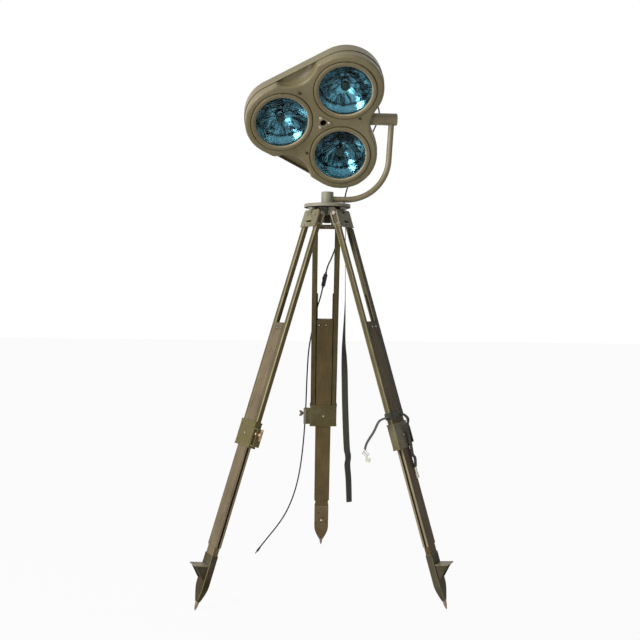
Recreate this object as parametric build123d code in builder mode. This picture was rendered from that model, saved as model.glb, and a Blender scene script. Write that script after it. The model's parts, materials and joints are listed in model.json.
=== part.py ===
from build123d import *
from math import atan2, cos, radians, sin, tan
import os

# Three-lamp field operating light on a wooden tripod, in millimetres.
# Origin on the floor under the tripod's vertical axis, +Z up, lamps facing -Y.

# Tripod head: everything on it stands on the hinge pins' height
HINGE_HEIGHT = 1480.0
HINGE_DROP = 38.0
DISC_RADIUS = 91.4
DISC_THICKNESS = 14.0
DISC_TOP = HINGE_HEIGHT + HINGE_DROP
BOSS_RADIUS = 27.0
BOSS_DROP = 29.0
LUG_WIDTH = 60.0
LUG_END_RADIUS = 10.5
PIN_RADIUS = 5.0
PIN_HEAD_RADIUS = 8.0
PIN_CLEARANCE = 0.05
STOP_GAP = 0.3

# Tripod legs: the hinge pins' circle, then each leg's azimuth and the radius of its foot on the floor
HINGE_RADIUS = 56.6
LEGS = {"rear": (-1.2, 538.0), "right": (118.8, 521.0), "left": (-121.2, 555.6)}

# Upper leg, with distances measured from the hinge pin
LEG_WIDTH = 112.0
BAR_WIDTH = 22.0
BAR_DEPTH = 20.0
BAR_CHAMFER = 3.0
CASTING_OUTER = 16.0
CASTING_INNER = 14.0
WEB_THICKNESS = 4.5
CASTING_RISE = 10.0
CHEEK_DROP = 48.0
WEB_DROP = 60.0
RIB_POCKET = 5.0
COLLAR_AT = 838.0
COLLAR_LENGTH = 99.0
COLLAR_WALL = 1.6
COLLAR_PLATE = 3.0

# Lower leg, with distances measured up from the tip of its spike
BOARD_SIDE_GAP = 0.8
BOARD_WIDTH = LEG_WIDTH - 2 * (BAR_WIDTH + BOARD_SIDE_GAP)
BOARD_DEPTH = 23.3
BOARD_TOP = 1112.0
BOARD_CLEARANCE = 0.55
BOARD_GROOVE = 5.0
NECK_INSET = 4.2
NECK_WIDTH = BOARD_WIDTH - 2 * NECK_INSET
NECK_DEPTH = 20.0
NECK_TOP = 242.0
SHOE_TOP = 212.0
SHOE_WALL = 2.5
SHOE_TAPER = 90.0
SPIKE_ROOT = 33.0
SPIKE_WIDTH = 21.0
STEP_TOP = 172.0
STEP_REACH = 92.0
STEP_WIDTH = 56.0
STEP_PLATE = 5.0

# Clamp bracket on the collar and its wing screw
BRACKET_REACH = 28.4
BRACKET_STRIP = 4.0
BRACKET_DEPTH = 24.0
BRACKET_TOP = 860.0
BRACKET_LENGTH = 68.0
SCREW_AT = 881.0
SCREW_RADIUS = 4.0

# Yoke: hub on the tripod head, bent arm tube and the sleeve on the tilt axis
YOKE_YAW = 4.88
HUB_RADIUS = 24.3
HUB_HEIGHT = 48.0
WASHER_THICKNESS = 1.0
SPINDLE_RADIUS = 12.0
RUNNING_CLEARANCE = 0.05
TUBE_RADIUS = 11.5
TUBE_WALL = 2.5
TUBE_RISE = 20.0
TUBE_HEIGHT = DISC_TOP + TUBE_RISE
TUBE_BEND = 168.0
TUBE_LEAN = 3.4
SLEEVE_RADIUS = 23.5
SLEEVE_START = 229.0
SLEEVE_LENGTH = 43.0
TILT_RISE = 338.2
TILT_HEIGHT = DISC_TOP + TILT_RISE
SHAFT_RADIUS = 10.0
SPRING_BORE_RADIUS = 18.0
SPRING_BORE_DEPTH = 19.0
CAP_THICKNESS = 3.0

# Lamp head: its centre on the tilt axis, its tilt below the horizontal and the three lamps
HEAD_OFFSET = -25.15
HEAD_TILT = 37.34
LAMP_CIRCLE = 157.4
LAMP_PLANE = 51.1
TOE_IN = 6.0
FACE_FLAT = 64.0
LAMP_ANGLES = {1: 180.0, 2: 60.0, 3: -60.0}

# Housing outline: three round lobes round the lamps, with waists between them
LOBE_CIRCLE = 159.0
LOBE_SHIFT = 3.0
COVER_LOBE = 145.0
SCOOP_WAIST = 184.0
ARM_WAIST = 186.0
TRAY_WALL = 2.5
COVER_WALL = 3.0
TRAY_RIM = 20.0
COVER_BOTTOM = 0.0
GASKET_THICKNESS = 2.0
TRAY_BACK = -50.0
BACK_ROUND = 24.0
PANEL_INSET = 28.0
PANEL_RISE = 13.0
SCOOP_FLOOR = 5.0
SCOOP_ROUND = 20.0
RIM_ROUND = 6.0

# Lamps, measured from the face of the cover at the lamp
RECESS_RADIUS = 121.9
RECESS_DEPTH = 6.0
RING_RADIUS = 118.8
RING_OPENING = 101.7
RING_PROUD = 3.5
GLASS_SEAT_RADIUS = 110.0
GLASS_SEAT_DEPTH = 14.0
LAMP_OPENING = 104.0
SEAT_RADIUS = 125.0
SEAT_DEPTH = 17.0
GLASS_THICKNESS = 4.0
BOWL_DEPTH = 70.0
BOWL_WALL = 1.2
BOWL_HOLE = 15.0
BULB_RADIUS = 14.0
SHIELD_RADIUS = 17.0

# Handle socket in the middle of the face, and the tilt boss at the side
SOCKET_RADIUS = 12.0
SOCKET_WALL = 3.5
SOCKET_DEPTH = 36.0
FLANGE_THICKNESS = 3.0
FLANGE_SCREW_CIRCLE = 22.0
BOSS_START = 176.0
TILT_WASHER = 1.0

# Lead and webbing
LEAD_RADIUS = 3.0
GLAND_AT = (112.0, 40.0)
GLAND_LENGTH = 40.0
SWITCH_WIDTH = 17.0
SWITCH_DEPTH = 14.0
PLUG_RADIUS = 4.5
STRAP_WIDTH = 25.0
STRAP_THICKNESS = 2.0

os.makedirs("parts", exist_ok=True)


# Frames of the moving assemblies
def leg_frame(name, at_foot=False):
    """Frame of a leg: x along its hinge pin, y outward, z up, from the pin or from the tip of the spike."""
    azimuth, foot_radius = LEGS[name]
    outward = Vector(sin(radians(azimuth)), cos(radians(azimuth)), 0)
    along_pin = Vector(cos(radians(azimuth)), -sin(radians(azimuth)), 0)
    spread = atan2(foot_radius - HINGE_RADIUS, HINGE_HEIGHT)
    up_leg = Vector(0, 0, cos(spread)) - outward * sin(spread)
    pin = outward * HINGE_RADIUS + Vector(0, 0, HINGE_HEIGHT)
    foot = outward * foot_radius
    return Plane(origin=foot if at_foot else pin, x_dir=along_pin, z_dir=up_leg).location


YOKE = Plane(
    origin=(0, 0, 0),
    x_dir=(cos(radians(YOKE_YAW)), sin(radians(YOKE_YAW)), 0),
    z_dir=(0, 0, 1),
).location
HEAD = YOKE * Plane(
    origin=(HEAD_OFFSET, 0, TILT_HEIGHT),
    x_dir=(1, 0, 0),
    z_dir=(0, -cos(radians(HEAD_TILT)), -sin(radians(HEAD_TILT))),
).location


def write(name, *pieces):
    """Writes one node's file, with one solid or a group of like solids."""
    node = pieces[0] if len(pieces) == 1 else Compound(children=list(pieces))
    node.label = name
    export_step(node, f"parts/{name}.step")


# Tripod head: a round disc with a central boss, three hinge lugs and three stop pads
def lug_frame(name):
    azimuth = LEGS[name][0]
    return Plane(
        origin=(0, 0, 0),
        x_dir=(sin(radians(azimuth)), cos(radians(azimuth)), 0),
        z_dir=(cos(radians(azimuth)), -sin(radians(azimuth)), 0),
    )


DISC_UNDERSIDE = DISC_TOP - DISC_THICKNESS
DISC_ROUND = 2.5
STUD_RADIUS = 6.0
LUG_ROOT = BOSS_RADIUS * 0.8
LUG_REACH = 9.4
LUG_SHOULDER = 4.6
PAD_START = 8.0
PAD_WIDTH = 16.0
PAD_TIP_WIDTH = 10.0
PAD_TIP_START = 10.0

with BuildPart() as head_disc:
    with BuildSketch(Plane.XY.offset(DISC_UNDERSIDE)):
        Circle(DISC_RADIUS)
    extrude(amount=DISC_THICKNESS)
    fillet(head_disc.edges().filter_by(GeomType.CIRCLE), DISC_ROUND)
    with BuildSketch(Plane.XY.offset(DISC_UNDERSIDE - BOSS_DROP)):
        Circle(BOSS_RADIUS)
    extrude(amount=BOSS_DROP)
    for leg, (azimuth, foot_radius) in LEGS.items():
        # The lug is drawn side-on, with the radius to the right and the height up
        with BuildSketch(lug_frame(leg)):
            with Locations((HINGE_RADIUS, HINGE_HEIGHT)):
                Circle(LUG_END_RADIUS)
            with BuildLine():
                Polyline(
                    (LUG_ROOT, DISC_UNDERSIDE),
                    (HINGE_RADIUS - LUG_REACH, DISC_UNDERSIDE),
                    (HINGE_RADIUS + LUG_REACH, HINGE_HEIGHT + LUG_SHOULDER),
                    (HINGE_RADIUS, HINGE_HEIGHT - LUG_END_RADIUS),
                    (LUG_ROOT, HINGE_HEIGHT - LUG_SHOULDER),
                    close=True,
                )
            make_face()
        extrude(amount=LUG_WIDTH / 2, both=True)
        # The stop pad lies just above the top edge of the spread leg's casting
        spread = atan2(foot_radius - HINGE_RADIUS, HINGE_HEIGHT)
        pad_bottom = HINGE_HEIGHT + CASTING_RISE * cos(spread) + CASTING_OUTER * sin(spread) + STOP_GAP
        with BuildSketch(lug_frame(leg)):
            with BuildLine():
                Polyline(
                    (HINGE_RADIUS + PAD_START, DISC_UNDERSIDE),
                    (HINGE_RADIUS + PAD_START + PAD_WIDTH, DISC_UNDERSIDE),
                    (HINGE_RADIUS + PAD_TIP_START + PAD_TIP_WIDTH, pad_bottom),
                    (HINGE_RADIUS + PAD_TIP_START, pad_bottom),
                    close=True,
                )
            make_face()
        extrude(amount=LUG_WIDTH / 4, both=True)
    for leg in LEGS:
        with BuildSketch(lug_frame(leg)):
            with Locations((HINGE_RADIUS, HINGE_HEIGHT)):
                Circle(PIN_RADIUS)
        extrude(amount=LUG_WIDTH, both=True, mode=Mode.SUBTRACT)
    with BuildSketch(Plane.XY.offset(DISC_TOP)):
        Circle(STUD_RADIUS + PIN_CLEARANCE)
    extrude(amount=-DISC_THICKNESS - BOSS_DROP, mode=Mode.SUBTRACT)
head_disc.part.label = "head_disc"
export_step(head_disc.part, "parts/head_disc.step")


# Hinge bolts: a plain pin with a round head at one end and a nut at the other, fixed in the lug
HEAD_THICKNESS = RIB_POCKET - STOP_GAP


def hinge_bolt():
    with BuildPart() as bolt:
        with BuildSketch(Plane.YZ.offset(-LEG_WIDTH / 2)):
            Circle(PIN_HEAD_RADIUS)
        extrude(amount=HEAD_THICKNESS)
        with BuildSketch(Plane.YZ.offset(-LEG_WIDTH / 2)):
            Circle(PIN_RADIUS)
        extrude(amount=LEG_WIDTH)
        with BuildSketch(Plane.YZ.offset(LEG_WIDTH / 2 - HEAD_THICKNESS)):
            RegularPolygon(PIN_HEAD_RADIUS, 6)
        extrude(amount=HEAD_THICKNESS)
        chamfer(bolt.faces().sort_by(Axis.X)[0].edges(), 1.0)
    return bolt.part


write("hinge_bolts", *[hinge_bolt().moved(leg_frame(leg)) for leg in LEGS])

# Spindle: stands in the disc, carries the yoke hub and takes the clamp screw from below
SPINDLE_HEIGHT = HUB_HEIGHT - 8.0
STUD_DEPTH = 24.0
SPINDLE_CHAMFER = 1.5

with BuildPart() as spindle:
    with BuildSketch(Plane.XY.offset(DISC_TOP)):
        Circle(SPINDLE_RADIUS)
    extrude(amount=SPINDLE_HEIGHT)
    chamfer(spindle.faces().sort_by(Axis.Z)[-1].edges(), SPINDLE_CHAMFER)
    with BuildSketch(Plane.XY.offset(DISC_TOP)):
        Circle(STUD_RADIUS + PIN_CLEARANCE)
    extrude(amount=STUD_DEPTH, mode=Mode.SUBTRACT)
spindle.part.label = "spindle"
export_step(spindle.part, "parts/spindle.step")

# Thrust washer between the disc and the hub, a little wider than the hub
WASHER_LIP = 1.5

with BuildPart() as thrust_washer:
    with BuildSketch(Plane.XY.offset(DISC_TOP)):
        Circle(HUB_RADIUS + WASHER_LIP)
        Circle(SPINDLE_RADIUS, mode=Mode.SUBTRACT)
    extrude(amount=WASHER_THICKNESS)
thrust_washer.part.label = "thrust_washer"
export_step(thrust_washer.part, "parts/thrust_washer.step")

# Clamp knob: a fluted knob on a stud that screws up into the spindle
KNOB_RADIUS = 13.0
KNOB_HEIGHT = 28.0
KNOB_FLUTES = 8
FLUTE_RADIUS = 3.0
FLUTE_CIRCLE = KNOB_RADIUS + FLUTE_RADIUS / 2
KNOB_NECK = 2.0
KNOB_NECK_RADIUS = 8.0
STUD_END_GAP = 4.0
KNOB_TOP = DISC_UNDERSIDE - BOSS_DROP - KNOB_NECK

with BuildPart() as clamp_knob:
    with BuildSketch(Plane.XY.offset(KNOB_TOP - KNOB_HEIGHT)):
        Circle(KNOB_RADIUS)
        with PolarLocations(FLUTE_CIRCLE, KNOB_FLUTES):
            Circle(FLUTE_RADIUS, mode=Mode.SUBTRACT)
    extrude(amount=KNOB_HEIGHT)
    with BuildSketch(Plane.XY.offset(KNOB_TOP)):
        Circle(KNOB_NECK_RADIUS)
    extrude(amount=KNOB_NECK - STOP_GAP)
    with BuildSketch(Plane.XY.offset(KNOB_TOP)):
        Circle(STUD_RADIUS)
    extrude(amount=DISC_TOP + STUD_DEPTH - STUD_END_GAP - KNOB_TOP)
clamp_knob.part.label = "clamp_knob"
export_step(clamp_knob.part, "parts/clamp_knob.step")


# Hinge casting: a fork with an outward web, ribbed cheeks and two slots, drawn in its leg's frame
CASTING_CORNER = 12.0
POCKET_MIDDLE = (0.5, -14.5)
POCKET_WIDTH = 18.0
POCKET_LENGTH = 53.0
POCKET_CORNER = 4.0
WEB_SLOTS = ((-1.0, 19.0), (-38.0, 38.0))
WEB_SLOT_WIDTH = 8.0


def hinge_casting():
    with BuildPart() as casting:
        with BuildSketch(Plane.XZ.offset(-CASTING_OUTER)) as front:
            with Locations((0, (CASTING_RISE - CHEEK_DROP) / 2)):
                Rectangle(LEG_WIDTH, CASTING_RISE + CHEEK_DROP)
            fillet(front.vertices().group_by(Axis.Y)[-1], CASTING_CORNER)
        extrude(amount=CASTING_OUTER + CASTING_INNER)
        with BuildSketch(Plane.XZ.offset(-CASTING_OUTER)):
            with Locations((0, -(CHEEK_DROP + WEB_DROP) / 2)):
                Rectangle(LEG_WIDTH, WEB_DROP - CHEEK_DROP)
        extrude(amount=WEB_THICKNESS)
        # The gap between the cheeks takes the lug
        with BuildSketch(Plane.XZ.offset(CASTING_INNER)):
            with Locations((0, (CASTING_RISE - WEB_DROP) / 2)):
                Rectangle(LUG_WIDTH + 2 * STOP_GAP, CASTING_RISE + WEB_DROP)
        extrude(amount=-(CASTING_INNER + CASTING_OUTER - WEB_THICKNESS), mode=Mode.SUBTRACT)
        # A pocket in each cheek's side leaves the two ribs
        for side in (-1, 1):
            with BuildSketch(Plane.YZ.offset(side * LEG_WIDTH / 2)):
                with Locations(POCKET_MIDDLE):
                    RectangleRounded(POCKET_WIDTH, POCKET_LENGTH, POCKET_CORNER)
            extrude(amount=-side * RIB_POCKET, mode=Mode.SUBTRACT)
        # Slots through the web
        for height, width in WEB_SLOTS:
            with BuildSketch(Plane.XZ.offset(-CASTING_OUTER)):
                with Locations((0, height)):
                    SlotOverall(width, WEB_SLOT_WIDTH)
            extrude(amount=WEB_THICKNESS, mode=Mode.SUBTRACT)
        with BuildSketch(Plane.YZ.offset(-LEG_WIDTH / 2)):
            Circle(PIN_RADIUS + PIN_CLEARANCE)
        extrude(amount=LEG_WIDTH, mode=Mode.SUBTRACT)
    return casting.part


# Upper leg: two square wooden bars with chamfered edges
BAR_OFFSET = (LEG_WIDTH - BAR_WIDTH) / 2


def leg_bar(side):
    with BuildPart() as bar:
        with BuildSketch(Plane.XY.offset(-COLLAR_AT - COLLAR_LENGTH)) as section:
            with Locations((side * BAR_OFFSET, 0)):
                Rectangle(BAR_WIDTH, BAR_DEPTH)
            chamfer(section.vertices(), BAR_CHAMFER)
        extrude(amount=COLLAR_AT + COLLAR_LENGTH - CHEEK_DROP)
    return bar.part


# Collar: a sheet-metal band round the bars' lower ends, with a passage for the board,
# rivets on its faces and a stirrup at its side for the clamp screw
BOARD_PASSAGE = BOARD_DEPTH / 2 + BOARD_CLEARANCE
COLLAR_BOTTOM = -COLLAR_AT - COLLAR_LENGTH
COLLAR_CORNER = 2.5
COLLAR_FACE = BOARD_PASSAGE + COLLAR_PLATE
ROLL_HEIGHT = 5.0
ROLL_PROUD = 1.2
COLLAR_RIVET_RADIUS = 3.5
COLLAR_RIVET_HEIGHT = 1.6
COLLAR_RIVET_INSET = 20.0
BRACKET_WALL_LAP = 0.6
BRACKET_CORNER = 6.0
BRACKET_FACE = -LEG_WIDTH / 2 - COLLAR_WALL - BRACKET_REACH
NUT_RADIUS = 9.0
NUT_HEIGHT = 3.0


def leg_collar():
    bracket_width = BRACKET_REACH + COLLAR_WALL - BRACKET_WALL_LAP
    bracket_middle = -LEG_WIDTH / 2 - COLLAR_WALL / 2 - BRACKET_REACH / 2
    with BuildPart() as collar:
        with BuildSketch(Plane.XY.offset(COLLAR_BOTTOM)):
            RectangleRounded(LEG_WIDTH + 2 * COLLAR_WALL, 2 * COLLAR_FACE, COLLAR_CORNER)
            with Locations((-BAR_OFFSET, 0), (BAR_OFFSET, 0)):
                Rectangle(BAR_WIDTH, BAR_DEPTH, mode=Mode.SUBTRACT)
            Rectangle(LEG_WIDTH - 2 * BAR_WIDTH, 2 * BOARD_PASSAGE, mode=Mode.SUBTRACT)
        extrude(amount=COLLAR_LENGTH)
        # Rolled edges round the top and the bottom
        for roll_bottom in (-COLLAR_AT - ROLL_HEIGHT, COLLAR_BOTTOM):
            with BuildSketch(Plane.XY.offset(roll_bottom)):
                RectangleRounded(
                    LEG_WIDTH + 2 * (COLLAR_WALL + ROLL_PROUD),
                    2 * (COLLAR_FACE + ROLL_PROUD),
                    COLLAR_CORNER + ROLL_PROUD,
                )
                Rectangle(LEG_WIDTH + COLLAR_WALL, 2 * BOARD_PASSAGE + COLLAR_PLATE, mode=Mode.SUBTRACT)
            extrude(amount=ROLL_HEIGHT)
        # Rivet heads on both faces
        for face in (-1, 1):
            with BuildSketch(Plane.XZ.offset(face * COLLAR_FACE)):
                with Locations(
                    (0, -COLLAR_AT - COLLAR_LENGTH / 2),
                    (-BAR_OFFSET, -COLLAR_AT - COLLAR_RIVET_INSET),
                    (BAR_OFFSET, -COLLAR_AT - COLLAR_RIVET_INSET),
                    (-BAR_OFFSET, COLLAR_BOTTOM + COLLAR_RIVET_INSET),
                    (BAR_OFFSET, COLLAR_BOTTOM + COLLAR_RIVET_INSET),
                ):
                    Circle(COLLAR_RIVET_RADIUS)
            extrude(amount=face * COLLAR_RIVET_HEIGHT)
        # Stirrup, open in the middle, with a threaded boss for the clamp screw
        with BuildSketch(Plane.XZ.offset(-BRACKET_DEPTH / 2)):
            with Locations((bracket_middle, -BRACKET_TOP - BRACKET_LENGTH / 2)):
                RectangleRounded(bracket_width, BRACKET_LENGTH, BRACKET_CORNER)
                Rectangle(
                    bracket_width - 2 * BRACKET_STRIP,
                    BRACKET_LENGTH - 2 * BRACKET_STRIP,
                    mode=Mode.SUBTRACT,
                )
        extrude(amount=BRACKET_DEPTH)
        with BuildSketch(Plane.YZ.offset(BRACKET_FACE)):
            with Locations((0, -SCREW_AT)):
                Circle(NUT_RADIUS)
        extrude(amount=BRACKET_STRIP + NUT_HEIGHT)
        with BuildSketch(Plane.YZ.offset(BRACKET_FACE)):
            with Locations((0, -SCREW_AT)):
                Circle(SCREW_RADIUS + RUNNING_CLEARANCE)
        extrude(amount=BRACKET_STRIP + NUT_HEIGHT, mode=Mode.SUBTRACT)
    return collar.part


# Wing screw: a threaded shank with a pressure pad and a flat two-eared wing, along the leg's x axis
WING_LENGTH = 44.0
WING_WIDTH = 15.0
WING_LEAN = 4.0
WING_THICKNESS = 5.0
WING_ROUND = 2.0
WING_HUB_RADIUS = 7.5
WING_HUB_START = 2.0
WING_HUB_LENGTH = 8.0
WING_OFFSET = 4.0
SCREW_TAIL = 14.0
PAD_RADIUS = 7.0
PAD_THICKNESS = 3.0


def wing_screw():
    pad_face = -LEG_WIDTH / 2 - COLLAR_WALL - 2 * STOP_GAP - BRACKET_STRIP
    with BuildPart() as screw:
        with BuildSketch(Plane.YZ.offset(pad_face)):
            with Locations((0, -SCREW_AT)):
                Circle(PAD_RADIUS)
        extrude(amount=-PAD_THICKNESS)
        with BuildSketch(Plane.YZ.offset(pad_face)):
            with Locations((0, -SCREW_AT)):
                Circle(SCREW_RADIUS)
        extrude(amount=BRACKET_FACE - SCREW_TAIL - pad_face)
        with BuildSketch(Plane.YZ.offset(BRACKET_FACE - WING_HUB_START)):
            with Locations((0, -SCREW_AT)):
                Circle(WING_HUB_RADIUS)
        extrude(amount=-WING_HUB_LENGTH)
        # The ears lean away from the bracket, each drawn from the hub to its tip and back
        for side in (-1, 1):
            hub, ear = BRACKET_FACE - WING_OFFSET, side * WING_LENGTH / 2
            with BuildSketch(Plane.XZ.offset(-WING_THICKNESS / 2)):
                with BuildLine():
                    FilletPolyline(
                        (hub, -SCREW_AT),
                        (hub, -SCREW_AT + ear * 0.3),
                        (hub - WING_LEAN, -SCREW_AT + ear),
                        (hub - WING_WIDTH, -SCREW_AT + ear),
                        (hub - WING_HUB_LENGTH, -SCREW_AT + ear * 0.2),
                        (hub - WING_HUB_LENGTH, -SCREW_AT),
                        radius=WING_ROUND,
                        close=True,
                    )
                make_face()
            extrude(amount=WING_THICKNESS)
    return screw.part


# Lower leg: a grooved board that narrows above its shoe, drawn up from the spike's tip
BOARD_TOP_CHAMFER = 2.0


def leg_board():
    with BuildPart() as board:
        with BuildSketch(Plane.XY.offset(NECK_TOP)):
            Rectangle(BOARD_WIDTH, BOARD_DEPTH)
            with Locations((-BOARD_WIDTH / 2, 0), (BOARD_WIDTH / 2, 0)):
                Rectangle(2 * BOARD_GROOVE, BOARD_DEPTH / 3, mode=Mode.SUBTRACT)
        extrude(amount=BOARD_TOP - NECK_TOP)
        with BuildSketch(Plane.XY.offset(SHOE_TAPER)):
            Rectangle(NECK_WIDTH, NECK_DEPTH)
        extrude(amount=NECK_TOP - SHOE_TAPER)
        chamfer(board.edges().filter_by(Axis.X).group_by(Axis.Z)[-1], BOARD_TOP_CHAMFER)
    return board.part


# Shoe: a steel socket round the board's end, a tapered point with its spike, and a gusseted step
SHOE_WIDTH = NECK_WIDTH + 2 * SHOE_WALL
SHOE_DEPTH = NECK_DEPTH + 2 * SHOE_WALL
STEP_DROP = 10.0
STEP_ROOT = 7.0
POINT_WIDTH = 25.0
SPIKE_DEPTH = 18.0
SPIKE_TIP = 2.0
GUSSET_INSET = 12.0
GUSSET_DROP = 60.0
GUSSET_THICKNESS = 5.0
SHOE_RIVETS = (139.0, 196.0)
SHOE_RIVET_RADIUS = 4.0
SHOE_RIVET_HEIGHT = 1.8


def foot_shoe():
    with BuildPart() as shoe:
        with BuildSketch(Plane.XY.offset(SHOE_TAPER)):
            Rectangle(SHOE_WIDTH, SHOE_DEPTH)
            Rectangle(NECK_WIDTH, NECK_DEPTH, mode=Mode.SUBTRACT)
        extrude(amount=SHOE_TOP - SHOE_TAPER)
        with BuildSketch(Plane.XY.offset(SHOE_TAPER)):
            Rectangle(SHOE_WIDTH, SHOE_DEPTH)
        with BuildSketch(Plane.XY.offset(SPIKE_ROOT)):
            Rectangle(POINT_WIDTH, SPIKE_WIDTH)
        loft(ruled=True)
        with BuildSketch(Plane.XY.offset(SPIKE_ROOT)):
            Rectangle(SPIKE_WIDTH, SPIKE_DEPTH)
        with BuildSketch(Plane.XY):
            Rectangle(SPIKE_TIP, SPIKE_TIP)
        loft(ruled=True)
        # Step plate with its gusset web, seen side-on
        with BuildSketch(Plane.YZ):
            with BuildLine():
                Polyline(
                    (SHOE_DEPTH / 2, STEP_TOP),
                    (STEP_REACH, STEP_TOP - STEP_DROP),
                    (STEP_REACH, STEP_TOP - STEP_DROP - STEP_PLATE),
                    (SHOE_DEPTH / 2, STEP_TOP - STEP_ROOT),
                    close=True,
                )
            make_face()
        extrude(amount=STEP_WIDTH / 2, both=True)
        with BuildSketch(Plane.YZ):
            with BuildLine():
                Polyline(
                    (SHOE_DEPTH / 2, STEP_TOP - STEP_PLATE),
                    (STEP_REACH - GUSSET_INSET, STEP_TOP - STEP_DROP - STEP_PLATE / 2),
                    (SHOE_DEPTH / 2, STEP_TOP - GUSSET_DROP),
                    close=True,
                )
            make_face()
        extrude(amount=GUSSET_THICKNESS / 2, both=True)
        # Rivet heads on the shoe's faces
        for face in (-1, 1):
            with BuildSketch(Plane.XZ.offset(face * SHOE_DEPTH / 2)):
                with Locations(*[(0, height) for height in SHOE_RIVETS]):
                    Circle(SHOE_RIVET_RADIUS)
            extrude(amount=face * SHOE_RIVET_HEIGHT)
    return shoe.part


for leg in LEGS:
    pin, foot = leg_frame(leg), leg_frame(leg, at_foot=True)
    write(f"hinge_casting_{leg}", hinge_casting().moved(pin))
    write(f"leg_bars_{leg}", leg_bar(-1).moved(pin), leg_bar(1).moved(pin))
    write(f"collar_{leg}", leg_collar().moved(pin))
    write(f"wing_screw_{leg}", wing_screw().moved(pin))
    write(f"leg_board_{leg}", leg_board().moved(foot))
    write(f"foot_shoe_{leg}", foot_shoe().moved(foot))

# Yoke hub: a cap over the spindle with a socket for the arm tube
HUB_BOTTOM = DISC_TOP + WASHER_THICKNESS
TUBE_SEAT = 17.0
HUB_ROUND = 4.0
SPINDLE_TOP_GAP = 1.0

with BuildPart() as yoke_hub:
    with BuildSketch(Plane.XY.offset(HUB_BOTTOM)):
        Circle(HUB_RADIUS)
    extrude(amount=HUB_HEIGHT)
    fillet(yoke_hub.faces().sort_by(Axis.Z)[-1].edges(), HUB_ROUND)
    with BuildSketch(Plane.XY.offset(HUB_BOTTOM)):
        Circle(SPINDLE_RADIUS + RUNNING_CLEARANCE)
    extrude(amount=SPINDLE_HEIGHT + SPINDLE_TOP_GAP, mode=Mode.SUBTRACT)
    with BuildSketch(Plane.YZ.offset(TUBE_SEAT)):
        with Locations((0, TUBE_HEIGHT)):
            Circle(TUBE_RADIUS)
    extrude(amount=HUB_RADIUS, mode=Mode.SUBTRACT)
write("yoke_hub", yoke_hub.part.moved(YOKE))

# Arm tube: level out of the hub, one wide bend, then nearly upright into the sleeve
TUBE_TOP = TILT_HEIGHT - TUBE_SEAT
SLEEVE_MIDDLE = SLEEVE_START + SLEEVE_LENGTH / 2
BEND_TURN = radians(90.0 - TUBE_LEAN)
BEND_RISE = TUBE_BEND * (1 - cos(BEND_TURN))
TUBE_STRAIGHT = (TUBE_TOP - TUBE_HEIGHT - BEND_RISE) / cos(radians(TUBE_LEAN))
BEND_START = SLEEVE_MIDDLE - TUBE_STRAIGHT * sin(radians(TUBE_LEAN)) - TUBE_BEND * sin(BEND_TURN)

with BuildPart() as arm_tube:
    with BuildLine(Plane.XZ) as arm_path:
        level = Line((TUBE_SEAT, TUBE_HEIGHT), (BEND_START, TUBE_HEIGHT))
        bend = TangentArc(
            level @ 1,
            (BEND_START + TUBE_BEND * sin(BEND_TURN), TUBE_HEIGHT + BEND_RISE),
            tangent=level % 1,
        )
        Line(bend @ 1, (SLEEVE_MIDDLE, TUBE_TOP))
    with BuildSketch(Plane(origin=arm_path.line @ 0, z_dir=arm_path.line % 0)):
        Circle(TUBE_RADIUS)
        Circle(TUBE_RADIUS - TUBE_WALL, mode=Mode.SUBTRACT)
    sweep()
write("arm_tube", arm_tube.part.moved(YOKE))

# Arm sleeve: carries the tilt shaft, with a bore for its friction springs behind an end cap
SLEEVE_PLANE = Plane(origin=(SLEEVE_START, 0, TILT_HEIGHT), x_dir=(0, 1, 0), z_dir=(1, 0, 0))
EDGE_CHAMFER = 1.0

with BuildPart() as arm_sleeve:
    with BuildSketch(SLEEVE_PLANE):
        Circle(SLEEVE_RADIUS)
        Circle(SHAFT_RADIUS + RUNNING_CLEARANCE, mode=Mode.SUBTRACT)
    extrude(amount=SLEEVE_LENGTH)
    with BuildSketch(SLEEVE_PLANE.offset(SLEEVE_LENGTH - SPRING_BORE_DEPTH)):
        Circle(SPRING_BORE_RADIUS)
    extrude(amount=SPRING_BORE_DEPTH, mode=Mode.SUBTRACT)
    outer_end = arm_sleeve.edges().filter_by(GeomType.CIRCLE).group_by(Axis.X)[-1]
    chamfer(outer_end.sort_by(SortBy.RADIUS)[-1], EDGE_CHAMFER)
    # Socket for the end of the arm tube
    socket_end = Plane(
        origin=(SLEEVE_MIDDLE, 0, TUBE_TOP),
        x_dir=(0, 1, 0),
        z_dir=(-sin(radians(TUBE_LEAN)), 0, -cos(radians(TUBE_LEAN))),
    )
    with BuildSketch(socket_end):
        Circle(TUBE_RADIUS)
    extrude(amount=SLEEVE_RADIUS, mode=Mode.SUBTRACT)
write("arm_sleeve", arm_sleeve.part.moved(YOKE))

# End cap of the spring bore
with BuildPart() as sleeve_cap:
    with BuildSketch(SLEEVE_PLANE.offset(SLEEVE_LENGTH - CAP_THICKNESS)):
        Circle(SPRING_BORE_RADIUS)
    extrude(amount=CAP_THICKNESS)
write("sleeve_cap", sleeve_cap.part.moved(YOKE))

# Tilt washer between boss and sleeve, and the dished springs in the sleeve's bore
SPRING_STACK = 6.0
SPRING_RADIUS = SPRING_BORE_RADIUS - 1.0
SPRING_GROOVE = 1.0
SPRING_GROOVE_DEPTH = 3.0

with BuildPart() as tilt_washer:
    with BuildSketch(SLEEVE_PLANE.offset(-TILT_WASHER)):
        Circle(SLEEVE_RADIUS - EDGE_CHAMFER)
        Circle(SHAFT_RADIUS + RUNNING_CLEARANCE, mode=Mode.SUBTRACT)
    extrude(amount=TILT_WASHER)

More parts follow.
